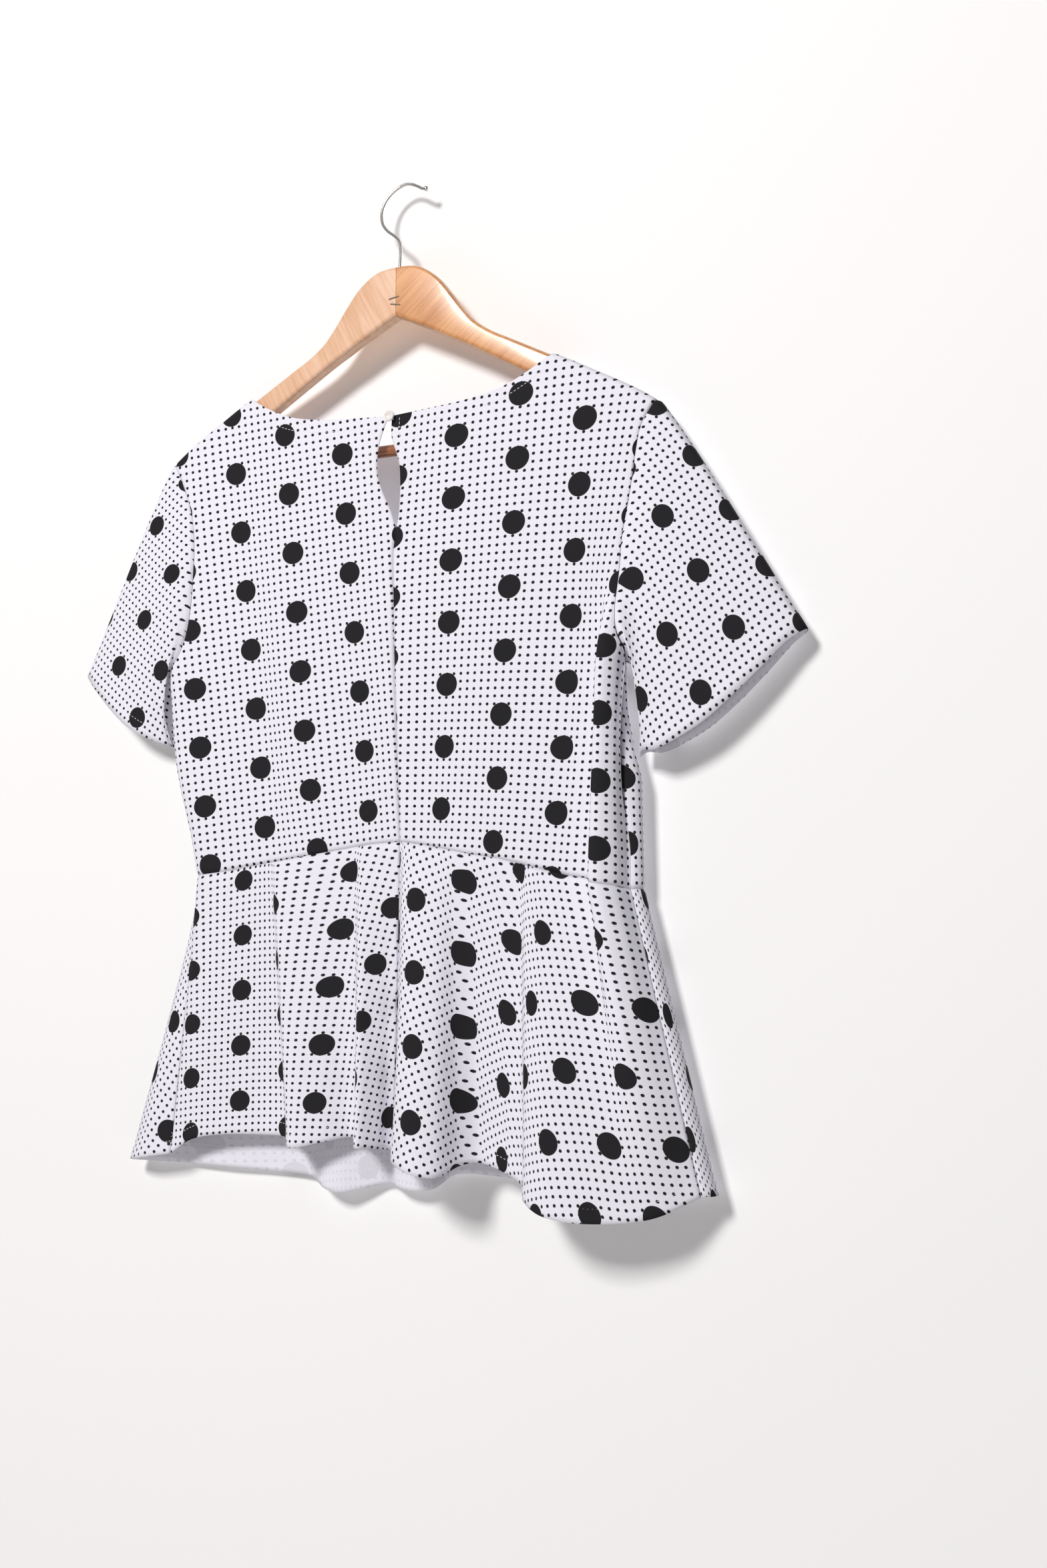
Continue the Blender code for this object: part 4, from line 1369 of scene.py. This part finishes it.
# Radius of each cut's waist, where its turn starts, where its print starts, and its share of length
LEFT_CUT = (463.5, 173.9, (-0.25, 79.45), 1.12)
RIGHT_CUT = (357.0, 235.1, (50.1, 36.7), 1.0)
FRONT_CUT = (420.0, 154.0, (3.0, 70.0), 1.0)
peplum_left, peplum_left_net = peplum(
    "peplum_back_left", "back_peplum_left", BACK_FOLDS_LEFT, back_waist_point, PEPLUM_COLUMNS, LEFT_CUT
)
peplum_right, peplum_right_net = peplum(
    "peplum_back_right",
    "back_peplum_right",
    BACK_FOLDS_RIGHT,
    back_waist_point,
    PEPLUM_COLUMNS + 20,
    RIGHT_CUT,
)
peplum_front, peplum_front_net = peplum(
    "peplum_front", "front_peplum", FRONT_FOLDS, front_waist_point, PEPLUM_COLUMNS + 60, FRONT_CUT
)

# ---------------------------------------------------------------------------------------------
# Topstitching: white thread in short lockstitches beside the neck and keyhole edges and above the
# sleeve and peplum hems, with two rows of coverstitch on the inside of the front hem.
STITCH_PITCH = 3.2
STITCH_HALF_LENGTH = 1.25
STITCH_HALF_WIDTH = 0.24
STITCH_HALF_HEIGHT = 0.18
EDGE_STITCH = 10.0
COVERSTITCH_ROWS = (13.5, 16.5)

thread, thread_shader, thread_links = principled("white_thread", (0.86, 0.85, 0.86), 0.7)
ply = node(thread, "ShaderNodeTexNoise")
ply.inputs["Scale"].default_value = 2600.0
ply_bump = node(thread, "ShaderNodeBump")
ply_bump.inputs["Strength"].default_value = 0.4
ply_bump.inputs["Distance"].default_value = 0.0001
ply_place = node(thread, "ShaderNodeTexCoord")
thread_links.new(ply_place.outputs["Object"], ply.inputs["Vector"])
thread_links.new(ply.outputs["Fac"], ply_bump.inputs["Height"])
thread_links.new(ply_bump.outputs["Normal"], thread_shader.inputs["Normal"])


def inset_from(lines, inset):
    """For lines that each start at an edge, the point this far in, and the line's way there."""
    path = []
    for line in lines:
        lengths = lengths_of(line)
        index = 0
        while index < len(line) - 2 and lengths[index + 1] < inset:
            index += 1
        part = (inset - lengths[index]) / (lengths[index + 1] - lengths[index])
        path.append((line[index].lerp(line[index + 1], part), line[index + 1] - line[index]))
    return path


def stitches(name, paths, outward):
    """Dashes of thread along paths; outward says on which side of each path's cloth they lie."""
    seam = bmesh.new()
    for path in paths:
        line = []
        for index, (point, inwards) in enumerate(path):
            ahead = path[min(index + 1, len(path) - 1)][0] - path[max(index - 1, 0)][0]
            up = ahead.cross(inwards).normalized() * outward
            line.append(Vector((*point, *up)))
        count = int(lengths_of(line)[-1] / STITCH_PITCH)
        places = spaced(line, [step / (2 * count) for step in range(2 * count + 1)])
        for before, middle, after in zip(places[0::2], places[1::2], places[2::2]):
            ahead = Vector(after[:3]) - Vector(before[:3])
            ahead.normalize()
            up = Vector(middle[3:])
            across = ahead.cross(up).normalized()
            up = across.cross(ahead)
            place = Vector(middle[:3]) + up * (CLOTH_THICKNESS / 2 + 0.05)
            size = (STITCH_HALF_LENGTH, STITCH_HALF_WIDTH, STITCH_HALF_HEIGHT)
            sides = [axis * length * MM for axis, length in zip((ahead, across, up), size)]
            turn = Matrix([[side[k] for side in sides] for k in range(3)]).to_4x4()
            turn.translation = place * MM
            bmesh.ops.create_uvsphere(seam, u_segments=6, v_segments=4, radius=1.0, matrix=turn)
    bmesh.ops.recalc_face_normals(seam, faces=seam.faces)
    piece = placed(name, seam, thread)
    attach(piece, "root")
    return piece


def columns_up(net, first=0, last=None):
    """The net's columns, each from the hem upwards."""
    last = len(net[0]) if last is None else last
    return [[row[i] for row in net[::-1]] for i in range(first, last)]


def columns_down(net, first, last):
    return [[row[i] for row in net] for i in range(first, last)]


for name, net, side in (("left", left_net, -1), ("right", right_net, 1)):
    neck_edge = inset_from(columns_down(net, 2, NECK_COLUMNS - 1), EDGE_STITCH)
    keyhole_edge = inset_from(net[2 : KEYHOLE_ROWS - 1], EDGE_STITCH * 0.7)
    stitches(f"neck_stitches_{name}", [neck_edge], -side)
    stitches(f"keyhole_stitches_{name}", [keyhole_edge], side)
for name, net, side in (("left", sleeve_left_net, -1), ("right", sleeve_right_net, 1)):
    stitches(f"sleeve_stitches_{name}", [inset_from(columns_up(net), EDGE_STITCH)], side)
HEMS = (("left", peplum_left_net, 1), ("right", peplum_right_net, 1), ("front", peplum_front_net, -1))
for name, net, side in HEMS:
    stitches(f"hem_stitches_{name}", [inset_from(columns_up(net), EDGE_STITCH)], side)
coverstitch = [inset_from(columns_up(peplum_front_net), inset) for inset in COVERSTITCH_ROWS]
stitches("coverstitch_front", coverstitch, 1)

# ---------------------------------------------------------------------------------------------
# Button and loop: a small pearly button on a thread shank at the left of the keyhole's top, and
# the white thread loop on the right half that catches it.
BUTTON_CENTRE = (-1.25, -193.2)
BUTTON_RADIUS = 4.3
BUTTON_DEPTH = -20.0
LOOP_DEPTH = -19.2
LOOP_ROUTE = ((4.6, 1.5), (1.6, 1.9), (-1.2, 1.7), (-2.0, 0.3), (-1.6, -1.3), (1.0, -2.2), (3.4, -2.6))

pearl, pearl_shader, pearl_links = principled("pearl_button", (0.78, 0.76, 0.72), 0.18)
swirl = node(pearl, "ShaderNodeTexNoise")
swirl.inputs["Scale"].default_value = 420.0
swirl.inputs["Detail"].default_value = 4.0
swirl.inputs["Distortion"].default_value = 1.6
lustre = node(pearl, "ShaderNodeMix", data_type="RGBA")
lustre.inputs["A"].default_value = (0.62, 0.60, 0.60, 1.0)
lustre.inputs["B"].default_value = (0.92, 0.89, 0.84, 1.0)
pearl_place = node(pearl, "ShaderNodeTexCoord")
pearl_links.new(pearl_place.outputs["Object"], swirl.inputs["Vector"])
pearl_links.new(swirl.outputs["Fac"], lustre.inputs["Factor"])
pearl_links.new(lustre.outputs["Result"], pearl_shader.inputs["Base Color"])
pearl_shader.inputs["Coat Weight"].default_value = 0.8
pearl_shader.inputs["Subsurface Weight"].default_value = 0.2
pearl_shader.inputs["Subsurface Scale"].default_value = 0.002

profile = (
    (0.0, -17.6),
    (0.9, -17.6),
    (0.9, -19.8),
    (3.4, -20.0),
    (4.1, -20.3),
    (4.3, -20.9),
    (4.15, -21.5),
    (3.7, -21.9),
    (3.2, -21.95),
    (2.8, -21.7),
    (2.0, -21.2),
    (0.0, -21.0),
)
disc = bmesh.new()
x, z = BUTTON_CENTRE
corners = [disc.verts.new(Vector((x + reach, y, z)) * MM) for reach, y in profile]
edges = [disc.edges.new(pair) for pair in zip(corners, corners[1:])]
bmesh.ops.spin(
    disc,
    geom=corners + edges,
    cent=Vector((x, 0, z)) * MM,
    axis=(0, 1, 0),
    angle=2 * math.pi,
    steps=40,
    use_merge=True,
)
bmesh.ops.remove_doubles(disc, verts=disc.verts, dist=1e-6)
bmesh.ops.recalc_face_normals(disc, faces=disc.faces)
button = placed("pearl_button", disc, pearl)
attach(button, "root")
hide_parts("button")

line = [
    Vector((x + right, LOOP_DEPTH, z + up)) * MM for right, up in spaced(smooth_line(LOOP_ROUTE), evenly(40))
]
loop = placed("thread_loop", tube(line, [0.0] + [0.35 * MM] * 39 + [0.0], sides=10), thread)
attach(loop, "root")
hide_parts("button_loop")

# ---------------------------------------------------------------------------------------------
# Every piece of cloth with the size that it was cut to, its area and the parts it rests on; the loop below
# does nothing with them.
SHEETS = (
    (left_panel, (0.24, 0.40), 0.0728, ("arm_left",)),
    (right_panel, (0.24, 0.41), 0.0674, ("arm_right",)),
    (front_panel, (0.46, 0.41), 0.1352, ("arm_left", "arm_right")),
    (sleeve_left, (0.34, 0.22), 0.0326, ("arm_left",)),
    (sleeve_right, (0.36, 0.24), 0.0432, ("arm_right",)),
    (peplum_left, (0.30, 0.24), 0.0458, ("back_panel_left",)),
    (peplum_right, (0.38, 0.24), 0.0560, ("back_panel_right",)),
    (peplum_front, (0.60, 0.24), 0.1073, ("front_panel",)),
)
for piece, flat, area, rests in SHEETS:
    list(rests)
